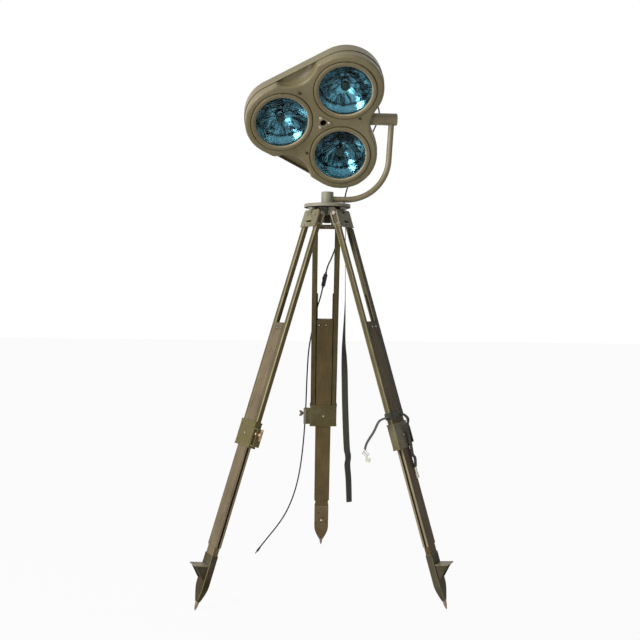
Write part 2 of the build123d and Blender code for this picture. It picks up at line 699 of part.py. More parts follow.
with BuildPart() as dished_spring:
    with BuildSketch(SLEEVE_PLANE.offset(SLEEVE_LENGTH - SPRING_BORE_DEPTH)):
        Circle(SPRING_RADIUS)
        Circle(SHAFT_RADIUS + RUNNING_CLEARANCE, mode=Mode.SUBTRACT)
    extrude(amount=SPRING_STACK)
    groove_start = SLEEVE_LENGTH - SPRING_BORE_DEPTH + (SPRING_STACK - SPRING_GROOVE) / 2
    with BuildSketch(SLEEVE_PLANE.offset(groove_start)):
        Circle(SPRING_BORE_RADIUS)
        Circle(SPRING_RADIUS - SPRING_GROOVE_DEPTH, mode=Mode.SUBTRACT)
    extrude(amount=SPRING_GROOVE, mode=Mode.SUBTRACT)
write("friction_springs", tilt_washer.part.moved(YOKE), dished_spring.part.moved(YOKE))


# Outlines of the lamp head, looking at its face
def unit(degrees_round):
    return Vector(cos(radians(degrees_round)), sin(radians(degrees_round)))


def waist(lobe_radius, distance):
    """Radius and centre distance of the hollow arc that touches two lobes and comes as near as distance."""
    along = distance - LOBE_CIRCLE / 2
    across = LOBE_CIRCLE * sin(radians(60))
    radius = (along**2 + across**2 - lobe_radius**2) / (2 * (lobe_radius - along))
    return radius, distance + radius


def head_outline(inset, scooped=False):
    """Face of the three-lobed outline, inset from the cover's edge; its sides at 120 and 240 degrees
    are straight, or hollow where scooped, and its arm side is always hollow."""
    lobe_radius = COVER_LOBE - inset
    middle = Vector(LOBE_SHIFT, 0)
    ends = {}
    sides = {0: ARM_WAIST - inset}
    if scooped:
        sides.update({120: SCOOP_WAIST - inset, 240: SCOOP_WAIST - inset})
    with BuildSketch() as outline:
        with BuildLine():
            for side in (0, 120, 240):
                before, after = middle + unit(side - 60) * LOBE_CIRCLE, middle + unit(side + 60) * LOBE_CIRCLE
                if side in sides:
                    hollow, distance = waist(lobe_radius, sides[side])
                    centre = middle + unit(side) * distance
                    share = lobe_radius / (lobe_radius + hollow)
                    start, end = before + (centre - before) * share, after + (centre - after) * share
                    ThreePointArc(start, middle + unit(side) * sides[side], end)
                else:
                    start, end = before + unit(side) * lobe_radius, after + unit(side) * lobe_radius
                    Line(start, end)
                ends[side] = (start, end)
            for side in (0, 120, 240):
                tip = middle + unit(side + 60) * (LOBE_CIRCLE + lobe_radius)
                ThreePointArc(ends[side][1], tip, ends[(side + 120) % 360][0])
        make_face()
    return outline.sketch


def lamp_centre(angle):
    return unit(angle) * LAMP_CIRCLE + Vector(0, 0, LAMP_PLANE)


def lamp_normal(angle):
    return unit(angle) * -sin(radians(TOE_IN)) + Vector(0, 0, cos(radians(TOE_IN)))


def lamp_plane(angle, depth=0.0):
    """Plane across a lamp, depth behind the face of the cover."""
    toe = radians(TOE_IN)
    return Plane(
        origin=lamp_centre(angle) - lamp_normal(angle) * depth,
        x_dir=unit(angle) * cos(toe) + Vector(0, 0, sin(toe)),
        z_dir=lamp_normal(angle),
    )


def face_height(x, y):
    """Height of the cover's face: three facets round a flat middle."""
    across = max(x * unit(angle).X + y * unit(angle).Y for angle in LAMP_ANGLES.values())
    return LAMP_PLANE + tan(radians(TOE_IN)) * (max(across, FACE_FLAT) - LAMP_CIRCLE)


FACE_MIDDLE = face_height(0, 0)
COVER_RIM = 70.0
DISH_RADIUS = 420.0


def space_before_face(depth=0.0):
    """All that lies before the cover's face, moved back by depth."""
    with BuildPart() as space:
        with BuildSketch(Plane.XY.offset(FACE_MIDDLE - depth)):
            Circle(DISH_RADIUS)
        extrude(amount=COVER_RIM)
        for angle in LAMP_ANGLES.values():
            split(bisect_by=lamp_plane(angle, depth), keep=Keep.TOP)
    return space.part


# The tilt boss ends just short of its washer and passes through a hole in the rim, half in the tray
# and half in the cover
BOSS_END_GAP = 0.2
BOSS_END = SLEEVE_START - TILT_WASHER - HEAD_OFFSET - BOSS_END_GAP
BOSS_PASSAGE = SCOOP_WAIST - SEAT_DEPTH
TRAY_LEDGE = COVER_BOTTOM - GASKET_THICKNESS
LEDGE_INSIDE = 2.5

# Screws through the cover into posts in the tray: two beside the lobes and one by the arm
FACE_SCREWS = ((144.8, 22.1), (-93.3, 119.3), (-54.3, -132.8))
POST_RADIUS = 7.0
SCREW_SHANK = 3.0
SCREW_HEAD = 5.5
SPOT_FACE = 1.0
SPOT_CLEARANCE = 0.5
FLANGE_SCREW_RADIUS = 2.5


def scoop(side):
    """What is cut away from the cover's side, down to a rounded floor."""
    hollow, distance = waist(COVER_LOBE, SCOOP_WAIST)
    with BuildPart() as cut:
        with BuildSketch(Plane.XY.offset(SCOOP_FLOOR)):
            with Locations(unit(side) * distance + Vector(LOBE_SHIFT, 0)):
                Circle(hollow)
        extrude(amount=COVER_RIM)
        fillet(cut.faces().sort_by(Axis.Z)[0].edges(), SCOOP_ROUND)
    return cut.part


def cover_space():
    """The cover's hollow inside."""
    with BuildPart() as inside:
        with BuildSketch(Plane.XY.offset(COVER_BOTTOM)):
            add(head_outline(COVER_WALL, scooped=True))
        extrude(amount=COVER_RIM)
        add(space_before_face(COVER_WALL), mode=Mode.SUBTRACT)
    return inside.part


# Front cover: a thin face with a rim all round, cut down by two scoops, with a deep seat for each lamp
with BuildPart() as front_cover:
    with BuildSketch(Plane.XY.offset(COVER_BOTTOM)):
        add(head_outline(0.0))
    extrude(amount=COVER_RIM)
    add(space_before_face(), mode=Mode.SUBTRACT)
    for side in (120, 240):
        add(scoop(side), mode=Mode.SUBTRACT)
    add(cover_space(), mode=Mode.SUBTRACT)
    for angle in LAMP_ANGLES.values():
        with BuildSketch(lamp_plane(angle, SEAT_DEPTH)):
            Circle(SEAT_RADIUS)
        extrude(amount=SEAT_DEPTH - COVER_WALL / 2)
    for x, y in FACE_SCREWS:
        with BuildSketch(Plane.XY.offset(face_height(x, y) - SPOT_FACE)):
            with Locations((x, y)):
                Circle(SCREW_HEAD + SPOT_CLEARANCE)
        extrude(amount=COVER_RIM, mode=Mode.SUBTRACT)
        with BuildSketch(Plane.XY.offset(face_height(x, y) - 2 * COVER_WALL)):
            with Locations((x, y)):
                Circle(SCREW_SHANK)
        extrude(amount=COVER_RIM, mode=Mode.SUBTRACT)
    for angle in LAMP_ANGLES.values():
        for radius, depth in (
            (RECESS_RADIUS, RECESS_DEPTH),
            (GLASS_SEAT_RADIUS, GLASS_SEAT_DEPTH),
            (LAMP_OPENING, SEAT_DEPTH),
        ):
            with BuildSketch(lamp_plane(angle, depth)):
                Circle(radius)
            extrude(amount=depth + COVER_WALL, mode=Mode.SUBTRACT)
    with BuildSketch(Plane.XY.offset(FACE_MIDDLE - COVER_WALL)):
        with Locations((LOBE_SHIFT, 0)):
            Circle(SOCKET_RADIUS + SOCKET_WALL)
            with PolarLocations(FLANGE_SCREW_CIRCLE, 3):
                Circle(FLANGE_SCREW_RADIUS)
    extrude(amount=COVER_WALL, mode=Mode.SUBTRACT)
    with BuildSketch(Plane.YZ.offset(BOSS_PASSAGE)):
        Circle(SLEEVE_RADIUS)
    extrude(amount=LOBE_CIRCLE, mode=Mode.SUBTRACT)
write("front_cover", front_cover.part.moved(HEAD))

# Gasket between the cover and the tray
with BuildPart() as cover_gasket:
    with BuildSketch(Plane.XY.offset(TRAY_LEDGE)):
        add(head_outline(0.0))
        add(head_outline(LEDGE_INSIDE), mode=Mode.SUBTRACT)
    extrude(amount=GASKET_THICKNESS)
    with BuildSketch(Plane.YZ.offset(BOSS_PASSAGE)):
        Circle(SLEEVE_RADIUS)
    extrude(amount=LOBE_CIRCLE, mode=Mode.SUBTRACT)
write("cover_gasket", cover_gasket.part.moved(HEAD))

# Rear shell: a pressed tray with a rounded back and a raised panel, a ledge for the cover and three posts
PANEL_SLOPE = 8.0
PANEL_BACK = TRAY_BACK - PANEL_RISE
BACK_WALL = 3.0
TRAY_FLOOR = TRAY_BACK + BACK_WALL
POST_FOOT = PANEL_BACK + BACK_WALL / 2
GLAND_HOLE = LEAD_RADIUS + 2.0


def tray_space():
    """The tray's hollow inside, with the ledge that carries the gasket and the panel's own hollow."""
    with BuildPart() as inside:
        with BuildSketch(Plane.XY.offset(TRAY_FLOOR)):
            add(head_outline(LEDGE_INSIDE))
        extrude(amount=TRAY_RIM - TRAY_BACK)
        fillet(inside.faces().sort_by(Axis.Z)[0].edges(), BACK_ROUND - TRAY_WALL - LEDGE_INSIDE)
        with BuildSketch(Plane.XY.offset(TRAY_LEDGE)):
            add(head_outline(0.0))
        extrude(amount=TRAY_RIM - TRAY_LEDGE)
        with BuildSketch(Plane.XY.offset(TRAY_FLOOR)):
            add(head_outline(PANEL_INSET + BACK_WALL))
        with BuildSketch(Plane.XY.offset(PANEL_BACK + BACK_WALL)):
            add(head_outline(PANEL_INSET + PANEL_SLOPE + BACK_WALL))
        loft(ruled=True)
    return inside.part


with BuildPart() as rear_shell:
    with BuildSketch(Plane.XY.offset(TRAY_BACK)):
        add(head_outline(-TRAY_WALL))
    extrude(amount=TRAY_RIM - TRAY_BACK)
    fillet(rear_shell.faces().sort_by(Axis.Z)[0].edges(), BACK_ROUND)
    with BuildSketch(Plane.XY.offset(TRAY_BACK)):
        add(head_outline(PANEL_INSET))
    with BuildSketch(Plane.XY.offset(PANEL_BACK)):
        add(head_outline(PANEL_INSET + PANEL_SLOPE))
    loft(ruled=True)
    fillet(rear_shell.faces().sort_by(Axis.Z)[0].edges(), RIM_ROUND)
    add(tray_space(), mode=Mode.SUBTRACT)
    for x, y in FACE_SCREWS:
        with BuildSketch(Plane.XY.offset(POST_FOOT)):
            with Locations((x, y)):
                Circle(POST_RADIUS)
        extrude(amount=face_height(x, y) - 2 * COVER_WALL - POST_FOOT)
        with BuildSketch(Plane.XY.offset(LAMP_PLANE - TRAY_RIM)):
            with Locations((x, y)):
                Circle(SCREW_SHANK)
        extrude(amount=TRAY_RIM, mode=Mode.SUBTRACT)
    with BuildSketch(Plane.YZ.offset(BOSS_PASSAGE)):
        Circle(SLEEVE_RADIUS)
    extrude(amount=LOBE_CIRCLE, mode=Mode.SUBTRACT)
    with BuildSketch(Plane.XY.offset(TRAY_BACK)):
        with Locations(GLAND_AT):
            Circle(GLAND_HOLE)
    extrude(amount=-2 * PANEL_RISE, mode=Mode.SUBTRACT)
write("rear_shell", rear_shell.part.moved(HEAD))


# Lamps: each is drawn about its own axis, with the face of the cover at height zero
RING_FOOT = 3.0
RING_EDGE = 1.5
RING_SLOPE = 7.0
RING_LIP_TOP = -1.0
RING_LIP_BOTTOM = -4.0
RING_NOTCHES = 3
NOTCH_DEPTH = 3.0
NOTCH_WIDTH = 12.0
NOTCH_ANGLE = 30.0


def retaining_ring():
    with BuildPart() as ring:
        with BuildSketch(Plane.XZ):
            with BuildLine():
                Polyline(
                    (RING_OPENING + RING_FOOT, -RECESS_DEPTH),
                    (RING_RADIUS, -RECESS_DEPTH),
                    (RING_RADIUS, RING_PROUD - RING_EDGE),
                    (RING_RADIUS - RING_EDGE, RING_PROUD),
                    (RING_OPENING + RING_SLOPE, RING_PROUD),
                    (RING_OPENING, RING_LIP_TOP),
                    (RING_OPENING, RING_LIP_BOTTOM),
                    close=True,
                )
            make_face()
        revolve(axis=Axis.Z)
        # Bayonet notches in the rim
        with BuildSketch(Plane.XY.offset(-RECESS_DEPTH)):
            with PolarLocations(RING_RADIUS, RING_NOTCHES, start_angle=NOTCH_ANGLE):
                Rectangle(NOTCH_DEPTH, NOTCH_WIDTH)
        extrude(amount=RECESS_DEPTH + RING_PROUD, mode=Mode.SUBTRACT)
    return ring.part


GASKET_LIP = 2.0
GASKET_OPENING = LAMP_OPENING + 1.0
GLASS_RADIUS = GLASS_SEAT_RADIUS - 1.4
GLASS_CHAMFER = 0.5


def filter_glass():
    with BuildPart() as glass:
        with BuildSketch(Plane.XY.offset(-GLASS_SEAT_DEPTH + GASKET_LIP)):
            Circle(GLASS_RADIUS)
        extrude(amount=GLASS_THICKNESS)
        chamfer(glass.edges().filter_by(GeomType.CIRCLE), GLASS_CHAMFER)
    return glass.part


def glass_gasket():
    with BuildPart() as gasket:
        with BuildSketch(Plane.XY.offset(-GLASS_SEAT_DEPTH)):
            Circle(GLASS_SEAT_RADIUS)
            Circle(GASKET_OPENING, mode=Mode.SUBTRACT)
        extrude(amount=GLASS_SEAT_DEPTH - RECESS_DEPTH)
        with BuildSketch(Plane.XY.offset(-GLASS_SEAT_DEPTH + GASKET_LIP)):
            Circle(GLASS_RADIUS)
            Circle(LAMP_OPENING, mode=Mode.SUBTRACT)
        extrude(amount=GLASS_THICKNESS, mode=Mode.SUBTRACT)
    return gasket.part


# A bowl is a parabola with a flange at its rim and a neck round the lampholder
HOLDER_RADIUS = BOWL_HOLE
HOLDER_BORE = 10.0
HOLDER_TOP = -90.0
HOLDER_BOTTOM = -104.0
HOLDER_BASE = 4.0
BOWL_RIM = -SEAT_DEPTH - BOWL_WALL
BOWL_END = BOWL_RIM - BOWL_DEPTH
BOWL_FLANGE = LAMP_OPENING + 8.0
BOWL_NECK = BOWL_END - BOWL_WALL - 6.0


def bowl_curve(wall=0.0):
    """The bowl's parabola: its middle control point is where the tangents of both ends meet."""
    rim, hole = LAMP_OPENING + wall, BOWL_HOLE + wall
    slope = 2 * rim * BOWL_DEPTH / (rim**2 - hole**2)
    middle = (rim + hole) / 2
    height = BOWL_RIM - wall - slope * (rim - middle)
    return Bezier((rim, BOWL_RIM - wall), (middle, height), (hole, BOWL_END - wall))


def reflector():
    with BuildPart() as bowl:
        with BuildSketch(Plane.XZ):
            with BuildLine():
                inner = bowl_curve()
                outer = bowl_curve(BOWL_WALL)
                Polyline(
                    inner @ 0,
                    (LAMP_OPENING, -SEAT_DEPTH),
                    (BOWL_FLANGE, -SEAT_DEPTH),
                    (BOWL_FLANGE, BOWL_RIM - BOWL_WALL),
                    outer @ 0,
                )
                Polyline(inner @ 1, (BOWL_HOLE, BOWL_NECK), (BOWL_HOLE + BOWL_WALL, BOWL_NECK), outer @ 1)
            make_face()
        revolve(axis=Axis.Z)
    return bowl.part


def lampholder():
    with BuildPart() as holder:
        with BuildSketch(Plane.XY.offset(HOLDER_BOTTOM)):
            Circle(HOLDER_RADIUS)
        extrude(amount=HOLDER_TOP - HOLDER_BOTTOM)
        with BuildSketch(Plane.XY.offset(HOLDER_BOTTOM + HOLDER_BASE)):
            Circle(HOLDER_BORE)
        extrude(amount=HOLDER_TOP - HOLDER_BOTTOM, mode=Mode.SUBTRACT)
    return holder.part


BULB_TOP = -36.0
BULB_BASE = HOLDER_BOTTOM + HOLDER_BASE
BULB_BASE_RADIUS = HOLDER_BORE - 0.2
BULB_BASE_LENGTH = 16.0
BULB_SHOULDER = BULB_BASE + 34.0
BULB_GRIP = BULB_TOP - BULB_RADIUS


def bulb():
    with BuildPart() as lamp_bulb:
        with BuildSketch(Plane.XZ):
            with BuildLine():
                Polyline(
                    (0, BULB_TOP),
                    (0, BULB_BASE),
                    (BULB_BASE_RADIUS, BULB_BASE),
                    (BULB_BASE_RADIUS, BULB_BASE + BULB_BASE_LENGTH),
                    (BULB_RADIUS, BULB_SHOULDER),
                    (BULB_RADIUS, BULB_GRIP),
                )
                RadiusArc((BULB_RADIUS, BULB_GRIP), (0, BULB_TOP), -BULB_RADIUS)
            make_face()
        revolve(axis=Axis.Z)
    return lamp_bulb.part


SHIELD_WALL = 1.0
SHIELD_TOP = BULB_TOP + 3.0


def bulb_shield():
    """Cup over the bulb's tip, with a lip that grips the glass."""
    with BuildPart() as shield:
        with BuildSketch(Plane.XZ):
            with BuildLine():
                Polyline(
                    (BULB_RADIUS, BULB_GRIP - SHIELD_WALL),
                    (SHIELD_RADIUS, BULB_GRIP - SHIELD_WALL),
                    (SHIELD_RADIUS, SHIELD_TOP),
                    (0, SHIELD_TOP),
                    (0, SHIELD_TOP - SHIELD_WALL),
                    (SHIELD_RADIUS - SHIELD_WALL, SHIELD_TOP - SHIELD_WALL),
                    (SHIELD_RADIUS - SHIELD_WALL, BULB_GRIP + SHIELD_WALL),
                    (BULB_RADIUS, BULB_GRIP + SHIELD_WALL),
                    close=True,
                )
            make_face()
        revolve(axis=Axis.Z)
    return shield.part


LAMPS = {lamp: HEAD * lamp_plane(angle).location for lamp, angle in LAMP_ANGLES.items()}
for lamp, place in LAMPS.items():
    write(f"retaining_ring_{lamp}", retaining_ring().moved(place))
    write(f"filter_glass_{lamp}", filter_glass().moved(place))
for name, make_piece in (
    ("glass_gaskets", glass_gasket),
    ("reflectors", reflector),
    ("lampholders", lampholder),
    ("bulbs", bulb),
    ("bulb_shields", bulb_shield),
):
    write(name, *[make_piece().moved(place) for place in LAMPS.values()])

# Handle socket: a blind tube under a triangular flange in the middle of the face
FLANGE_CORNER = 8.0

with BuildPart() as socket_flange:
    with BuildSketch(Plane.XY.offset(FACE_MIDDLE)) as flange_face:
        with Locations((LOBE_SHIFT, 0)):
            with PolarLocations(FLANGE_SCREW_CIRCLE, 3):
                Circle(FLANGE_CORNER)
        make_hull()
        with Locations((LOBE_SHIFT, 0)):
            Circle(SOCKET_RADIUS, mode=Mode.SUBTRACT)
            with PolarLocations(FLANGE_SCREW_CIRCLE, 3):
                Circle(FLANGE_SCREW_RADIUS, mode=Mode.SUBTRACT)
    extrude(amount=FLANGE_THICKNESS)
write("socket_flange", socket_flange.part.moved(HEAD))

with BuildPart() as handle_socket:
    with BuildSketch(Plane.XY.offset(FACE_MIDDLE)):
        with Locations((LOBE_SHIFT, 0)):
            Circle(SOCKET_RADIUS + SOCKET_WALL)
    extrude(amount=FLANGE_THICKNESS - SOCKET_DEPTH - SOCKET_WALL)
    with BuildSketch(Plane.XY.offset(FACE_MIDDLE)):
        with Locations((LOBE_SHIFT, 0)):
            Circle(SOCKET_RADIUS)
    extrude(amount=FLANGE_THICKNESS - SOCKET_DEPTH, mode=Mode.SUBTRACT)
write("handle_socket", handle_socket.part.moved(HEAD))


# Screws of the face and of the flange, drawn down from the underside of the head
HEAD_HEIGHT = 3.0
HEAD_CHAMFER = 1.0
SLOT_WIDTH = 1.2
SLOT_DEPTH = 1.2


def face_screw(head_radius, shank_radius, length):
    with BuildPart() as screw:
        with BuildSketch(Plane.XY):
            Circle(head_radius)
        extrude(amount=HEAD_HEIGHT)
        chamfer(screw.faces().sort_by(Axis.Z)[-1].edges(), HEAD_CHAMFER)
        with BuildSketch(Plane.XY.offset(HEAD_HEIGHT)):
            Rectangle(2 * head_radius, SLOT_WIDTH)
        extrude(amount=-SLOT_DEPTH, mode=Mode.SUBTRACT)
        with BuildSketch(Plane.XY):
            Circle(shank_radius)
        extrude(amount=-length)
    return screw.part


SCREW_LENGTH = 11.0
FLANGE_SCREW_HEAD = 5.0
FLANGE_SCREW_LENGTH = FLANGE_THICKNESS + COVER_WALL + 2.0
cover_screws = [
    face_screw(SCREW_HEAD, SCREW_SHANK, SCREW_LENGTH).moved(
        HEAD * Location((x, y, face_height(x, y) - SPOT_FACE))
    )
    for x, y in FACE_SCREWS
]
flange_screws = [
    face_screw(FLANGE_SCREW_HEAD, FLANGE_SCREW_RADIUS, FLANGE_SCREW_LENGTH).moved(
        HEAD
        * Location(unit(turn) * FLANGE_SCREW_CIRCLE + Vector(LOBE_SHIFT, 0, FACE_MIDDLE + FLANGE_THICKNESS))
    )
    for turn in (0, 120, 240)
]
write("face_screws", *cover_screws, *flange_screws)

# Tilt boss, shaft and nut on the tilt axis
BOSS_PLANE = Plane(origin=(0, 0, 0), x_dir=(0, 1, 0), z_dir=(1, 0, 0))
INNER_FLANGE = 182.0
INNER_FLANGE_RADIUS = SLEEVE_RADIUS + 9.5
INNER_FLANGE_THICKNESS = 3.7

with BuildPart() as tilt_boss:
    with BuildSketch(BOSS_PLANE.offset(BOSS_START)):
        Circle(SLEEVE_RADIUS)
    extrude(amount=BOSS_END - BOSS_START)
    chamfer(tilt_boss.faces().sort_by(Axis.X)[-1].edges(), EDGE_CHAMFER)
    with BuildSketch(BOSS_PLANE.offset(INNER_FLANGE)):
        Circle(INNER_FLANGE_RADIUS)
    extrude(amount=INNER_FLANGE_THICKNESS)
    with BuildSketch(BOSS_PLANE.offset(BOSS_START)):
        Circle(SHAFT_RADIUS)
    extrude(amount=BOSS_END - BOSS_START, mode=Mode.SUBTRACT)
write("tilt_boss", tilt_boss.part.moved(HEAD))

SHAFT_START = 160.0
SHAFT_END_GAP = 5.0
SHAFT_END = SLEEVE_START + SLEEVE_LENGTH - CAP_THICKNESS - HEAD_OFFSET - SHAFT_END_GAP

with BuildPart() as tilt_shaft:
    with BuildSketch(BOSS_PLANE.offset(SHAFT_START)):
        Circle(SHAFT_RADIUS)
    extrude(amount=SHAFT_END - SHAFT_START)
    chamfer(tilt_shaft.faces().sort_by(Axis.X)[-1].edges(), EDGE_CHAMFER)
write("tilt_shaft", tilt_shaft.part.moved(HEAD))

NUT_ACROSS = 30.0
NUT_START = SHAFT_START + 2.0

with BuildPart() as tilt_nut:
    with BuildSketch(BOSS_PLANE.offset(NUT_START)):
        RegularPolygon(NUT_ACROSS / 2, 6, major_radius=False)
        Circle(SHAFT_RADIUS, mode=Mode.SUBTRACT)
    extrude(amount=BOSS_START - NUT_START)
write("tilt_nut", tilt_nut.part.moved(HEAD))

# Cable gland on the raised rear panel, with a tapered sleeve over the lead
GLAND_BODY = 12.0
GLAND_ACROSS = 19.0
GLAND_CONE_RADIUS = 7.0
GLAND_MOUTH_RADIUS = LEAD_RADIUS + 1.2

with BuildPart() as cable_gland:
    with BuildSketch(Plane.XY.offset(PANEL_BACK)):
        with Locations(GLAND_AT):
            RegularPolygon(GLAND_ACROSS / 2, 6, major_radius=False)
    extrude(amount=-GLAND_BODY)
    with BuildSketch(Plane.XY.offset(PANEL_BACK - GLAND_BODY)):
        with Locations(GLAND_AT):
            Circle(GLAND_CONE_RADIUS)
    with BuildSketch(Plane.XY.offset(PANEL_BACK - GLAND_LENGTH)):
        with Locations(GLAND_AT):
            Circle(GLAND_MOUTH_RADIUS)
    loft()
    with BuildSketch(Plane.XY.offset(PANEL_BACK + BACK_WALL)):
        with Locations(GLAND_AT):
            Circle(GLAND_HOLE)
    extrude(amount=-BACK_WALL)
write("cable_gland", cable_gland.part.moved(HEAD))

# Terminal block inside the head, on the panel
TERMINAL_SIZE = (40.0, 20.0, 14.0)
TERMINAL_PITCH = (9.0, 10.0)
TERMINAL_HOLE_RADIUS = 2.5
TERMINAL_HOLE_DEPTH = 4.0

with BuildPart() as terminal_block:
    with BuildSketch(Plane.XY.offset(PANEL_BACK + BACK_WALL)):
        with Locations((LOBE_SHIFT, 0)):
            Rectangle(TERMINAL_SIZE[0], TERMINAL_SIZE[1])
    extrude(amount=TERMINAL_SIZE[2])
    with BuildSketch(Plane.XY.offset(PANEL_BACK + BACK_WALL + TERMINAL_SIZE[2])):
        with Locations((LOBE_SHIFT, 0)):
            with GridLocations(*TERMINAL_PITCH, 4, 2):
                Circle(TERMINAL_HOLE_RADIUS)
    extrude(amount=-TERMINAL_HOLE_DEPTH, mode=Mode.SUBTRACT)
write("terminal_block", terminal_block.part.moved(HEAD))


# In-line switch: a rounded body round the lead with a tapered sleeve at each end and a recess for its slider
SWITCH_TOP = Vector(-1, 154, 1254)
SWITCH_BOTTOM = Vector(-15, 173, 1188)
SWITCH_AXIS = SWITCH_BOTTOM - SWITCH_TOP
SWITCH_PLANE = Plane(origin=SWITCH_TOP, x_dir=(-1, 0, SWITCH_AXIS.X / SWITCH_AXIS.Z), z_dir=SWITCH_AXIS)
SWITCH_SLEEVE = 10.0
SWITCH_CORNER = 5.0
SLEEVE_END_RADIUS = LEAD_RADIUS + 0.8
SLEEVE_ROOT_RADIUS = LEAD_RADIUS + 2.2
SLIDER_SIZE = (6.0, 12.0, 4.0)
SLIDER_TRAVEL = 6.0
SLIDER_RECESS = 2.5
SLIDER_AT = 30.0
SLIDER_CHAMFER = 0.8

with BuildPart() as inline_switch:
    body_length = SWITCH_AXIS.length - 2 * SWITCH_SLEEVE
    with BuildSketch(SWITCH_PLANE.offset(SWITCH_SLEEVE)):
        RectangleRounded(SWITCH_WIDTH, SWITCH_DEPTH, SWITCH_CORNER)
    extrude(amount=body_length)
    for end, start in ((0.0, SWITCH_SLEEVE), (SWITCH_AXIS.length, SWITCH_SLEEVE + body_length)):
        with BuildSketch(SWITCH_PLANE.offset(end)):
            Circle(SLEEVE_END_RADIUS)
        with BuildSketch(SWITCH_PLANE.offset(start)):
            Circle(SLEEVE_ROOT_RADIUS)
        loft()
    slider_face = Plane(
        origin=SWITCH_PLANE.origin + SWITCH_PLANE.x_dir * SWITCH_WIDTH / 2 + SWITCH_PLANE.z_dir * SLIDER_AT,
        x_dir=SWITCH_PLANE.y_dir,
        z_dir=SWITCH_PLANE.x_dir,
    )
    with BuildSketch(slider_face):
        Rectangle(SLIDER_SIZE[0] + 2 * STOP_GAP, SLIDER_SIZE[1] + SLIDER_TRAVEL + 2 * STOP_GAP)
    extrude(amount=-SLIDER_RECESS, mode=Mode.SUBTRACT)
inline_switch.part.label = "inline_switch"
export_step(inline_switch.part, "parts/inline_switch.step")

with BuildPart() as switch_slider:
    with BuildSketch(slider_face.offset(STOP_GAP - SLIDER_RECESS)):
        with Locations((0, -SLIDER_TRAVEL / 2)):
            Rectangle(SLIDER_SIZE[0], SLIDER_SIZE[1])
    extrude(amount=SLIDER_SIZE[2])
    chamfer(switch_slider.faces().sort_by(Axis.X)[0].edges(), SLIDER_CHAMFER)
switch_slider.part.label = "switch_slider"
export_step(switch_slider.part, "parts/switch_slider.step")

# Lead: from the gland behind the yoke, through the switch, and down to its plug on the floor
STRAIGHT_EXIT = 28.0
GLAND_EXIT = (HEAD * Location((*GLAND_AT, PANEL_BACK - GLAND_LENGTH))).position
GLAND_RUN = (HEAD * Location((*GLAND_AT, PANEL_BACK - GLAND_LENGTH - STRAIGHT_EXIT))).position
LEAD_JOIN = Vector(68, 183, 1524)
JOIN_STEP = Vector(-4.4, -11.7, -30.6)

LEAD_UPPER = [
    GLAND_EXIT,
    GLAND_RUN,
    Vector(97, 112, 1984),
    Vector(130, 128, 1987),
    Vector(163, 127, 1975),
    Vector(191, 122, 1950),
    Vector(209, 121, 1913),
    Vector(207, 125, 1875),
    Vector(190, 135, 1841),
    Vector(172, 152, 1800),
    Vector(151, 178, 1752),
    Vector(128, 206, 1706),
    Vector(107, 222, 1662),
    Vector(90, 220, 1624),
    Vector(79, 210, 1590),
    LEAD_JOIN - JOIN_STEP,
    LEAD_JOIN,
]
LEAD_LOWER = [
    LEAD_JOIN,
    LEAD_JOIN + JOIN_STEP * 1.4,
    Vector(53, 149, 1430),
    Vector(43, 135, 1385),
    Vector(33, 126, 1345),
    Vector(19, 133, 1308),
    SWITCH_TOP - SWITCH_AXIS * 0.4,
    SWITCH_TOP,
]
LEAD_TAIL = [
    SWITCH_BOTTOM,
    SWITCH_BOTTOM + SWITCH_AXIS * 0.6,
    Vector(-38, 203, 1105),
    Vector(-50, 221, 1045),
    Vector(-62, 240, 985),
    Vector(-72, 259, 923),
    Vector(-76, 280, 860),
    Vector(-79, 303, 795),
    Vector(-81, 324, 730),
    Vector(-83, 347, 668),
    Vector(-86, 363, 606),
    Vector(-90, 370, 545),
    Vector(-95, 375, 485),
    Vector(-102, 380, 420),
    Vector(-112, 386, 355),
    Vector(-127, 392, 290),
    Vector(-148, 396, 228),
    Vector(-176, 396, 170),
    Vector(-209, 395, 122),
    Vector(-243, 392, 80),
    Vector(-266, 389, 51.5),
    Vector(-281.5, 387, 31),
]


BEND_SHARE = 0.45


def bend_radii(points):
    """A bend's radius takes the same share of its shorter run on each side."""
    radii = []
    for before, corner, after in zip(points, points[1:], points[2:]):
        turn = radians((corner - before).get_angle(after - corner))
        run = min((corner - before).length, (after - corner).length)
        radii.append(BEND_SHARE * run / tan(turn / 2))
    return radii


def lead(points):
    with BuildPart() as cord:
        with BuildLine() as route:
            FilletPolyline(*points, radius=bend_radii(points))
        with BuildSketch(Plane(origin=route.line @ 0, z_dir=route.line % 0)):
            Circle(LEAD_RADIUS)
        sweep()
    length = sum(edge.length for edge in route.edges())
    print("lead", round(length, 1), "mm long, bends", [round(radius, 1) for radius in bend_radii(points)])
    return cord.part


write("lead_upper", lead(LEAD_UPPER))
write("lead_lower", lead(LEAD_LOWER))
write("lead_tail", lead(LEAD_TAIL))

# Plug in line with the lead's last run, its tip just off the floor
PLUG_DIRECTION = LEAD_TAIL[-1] - LEAD_TAIL[-2]
PLUG_PLANE = Plane(origin=LEAD_TAIL[-1], z_dir=PLUG_DIRECTION)
PLUG_SLEEVE = 8.0
PLUG_GRIP = 16.0
PLUG_LENGTH = 36.0
PLUG_TIP_RADIUS = 2.0
PLUG_MOUTH_RADIUS = LEAD_RADIUS + 0.4

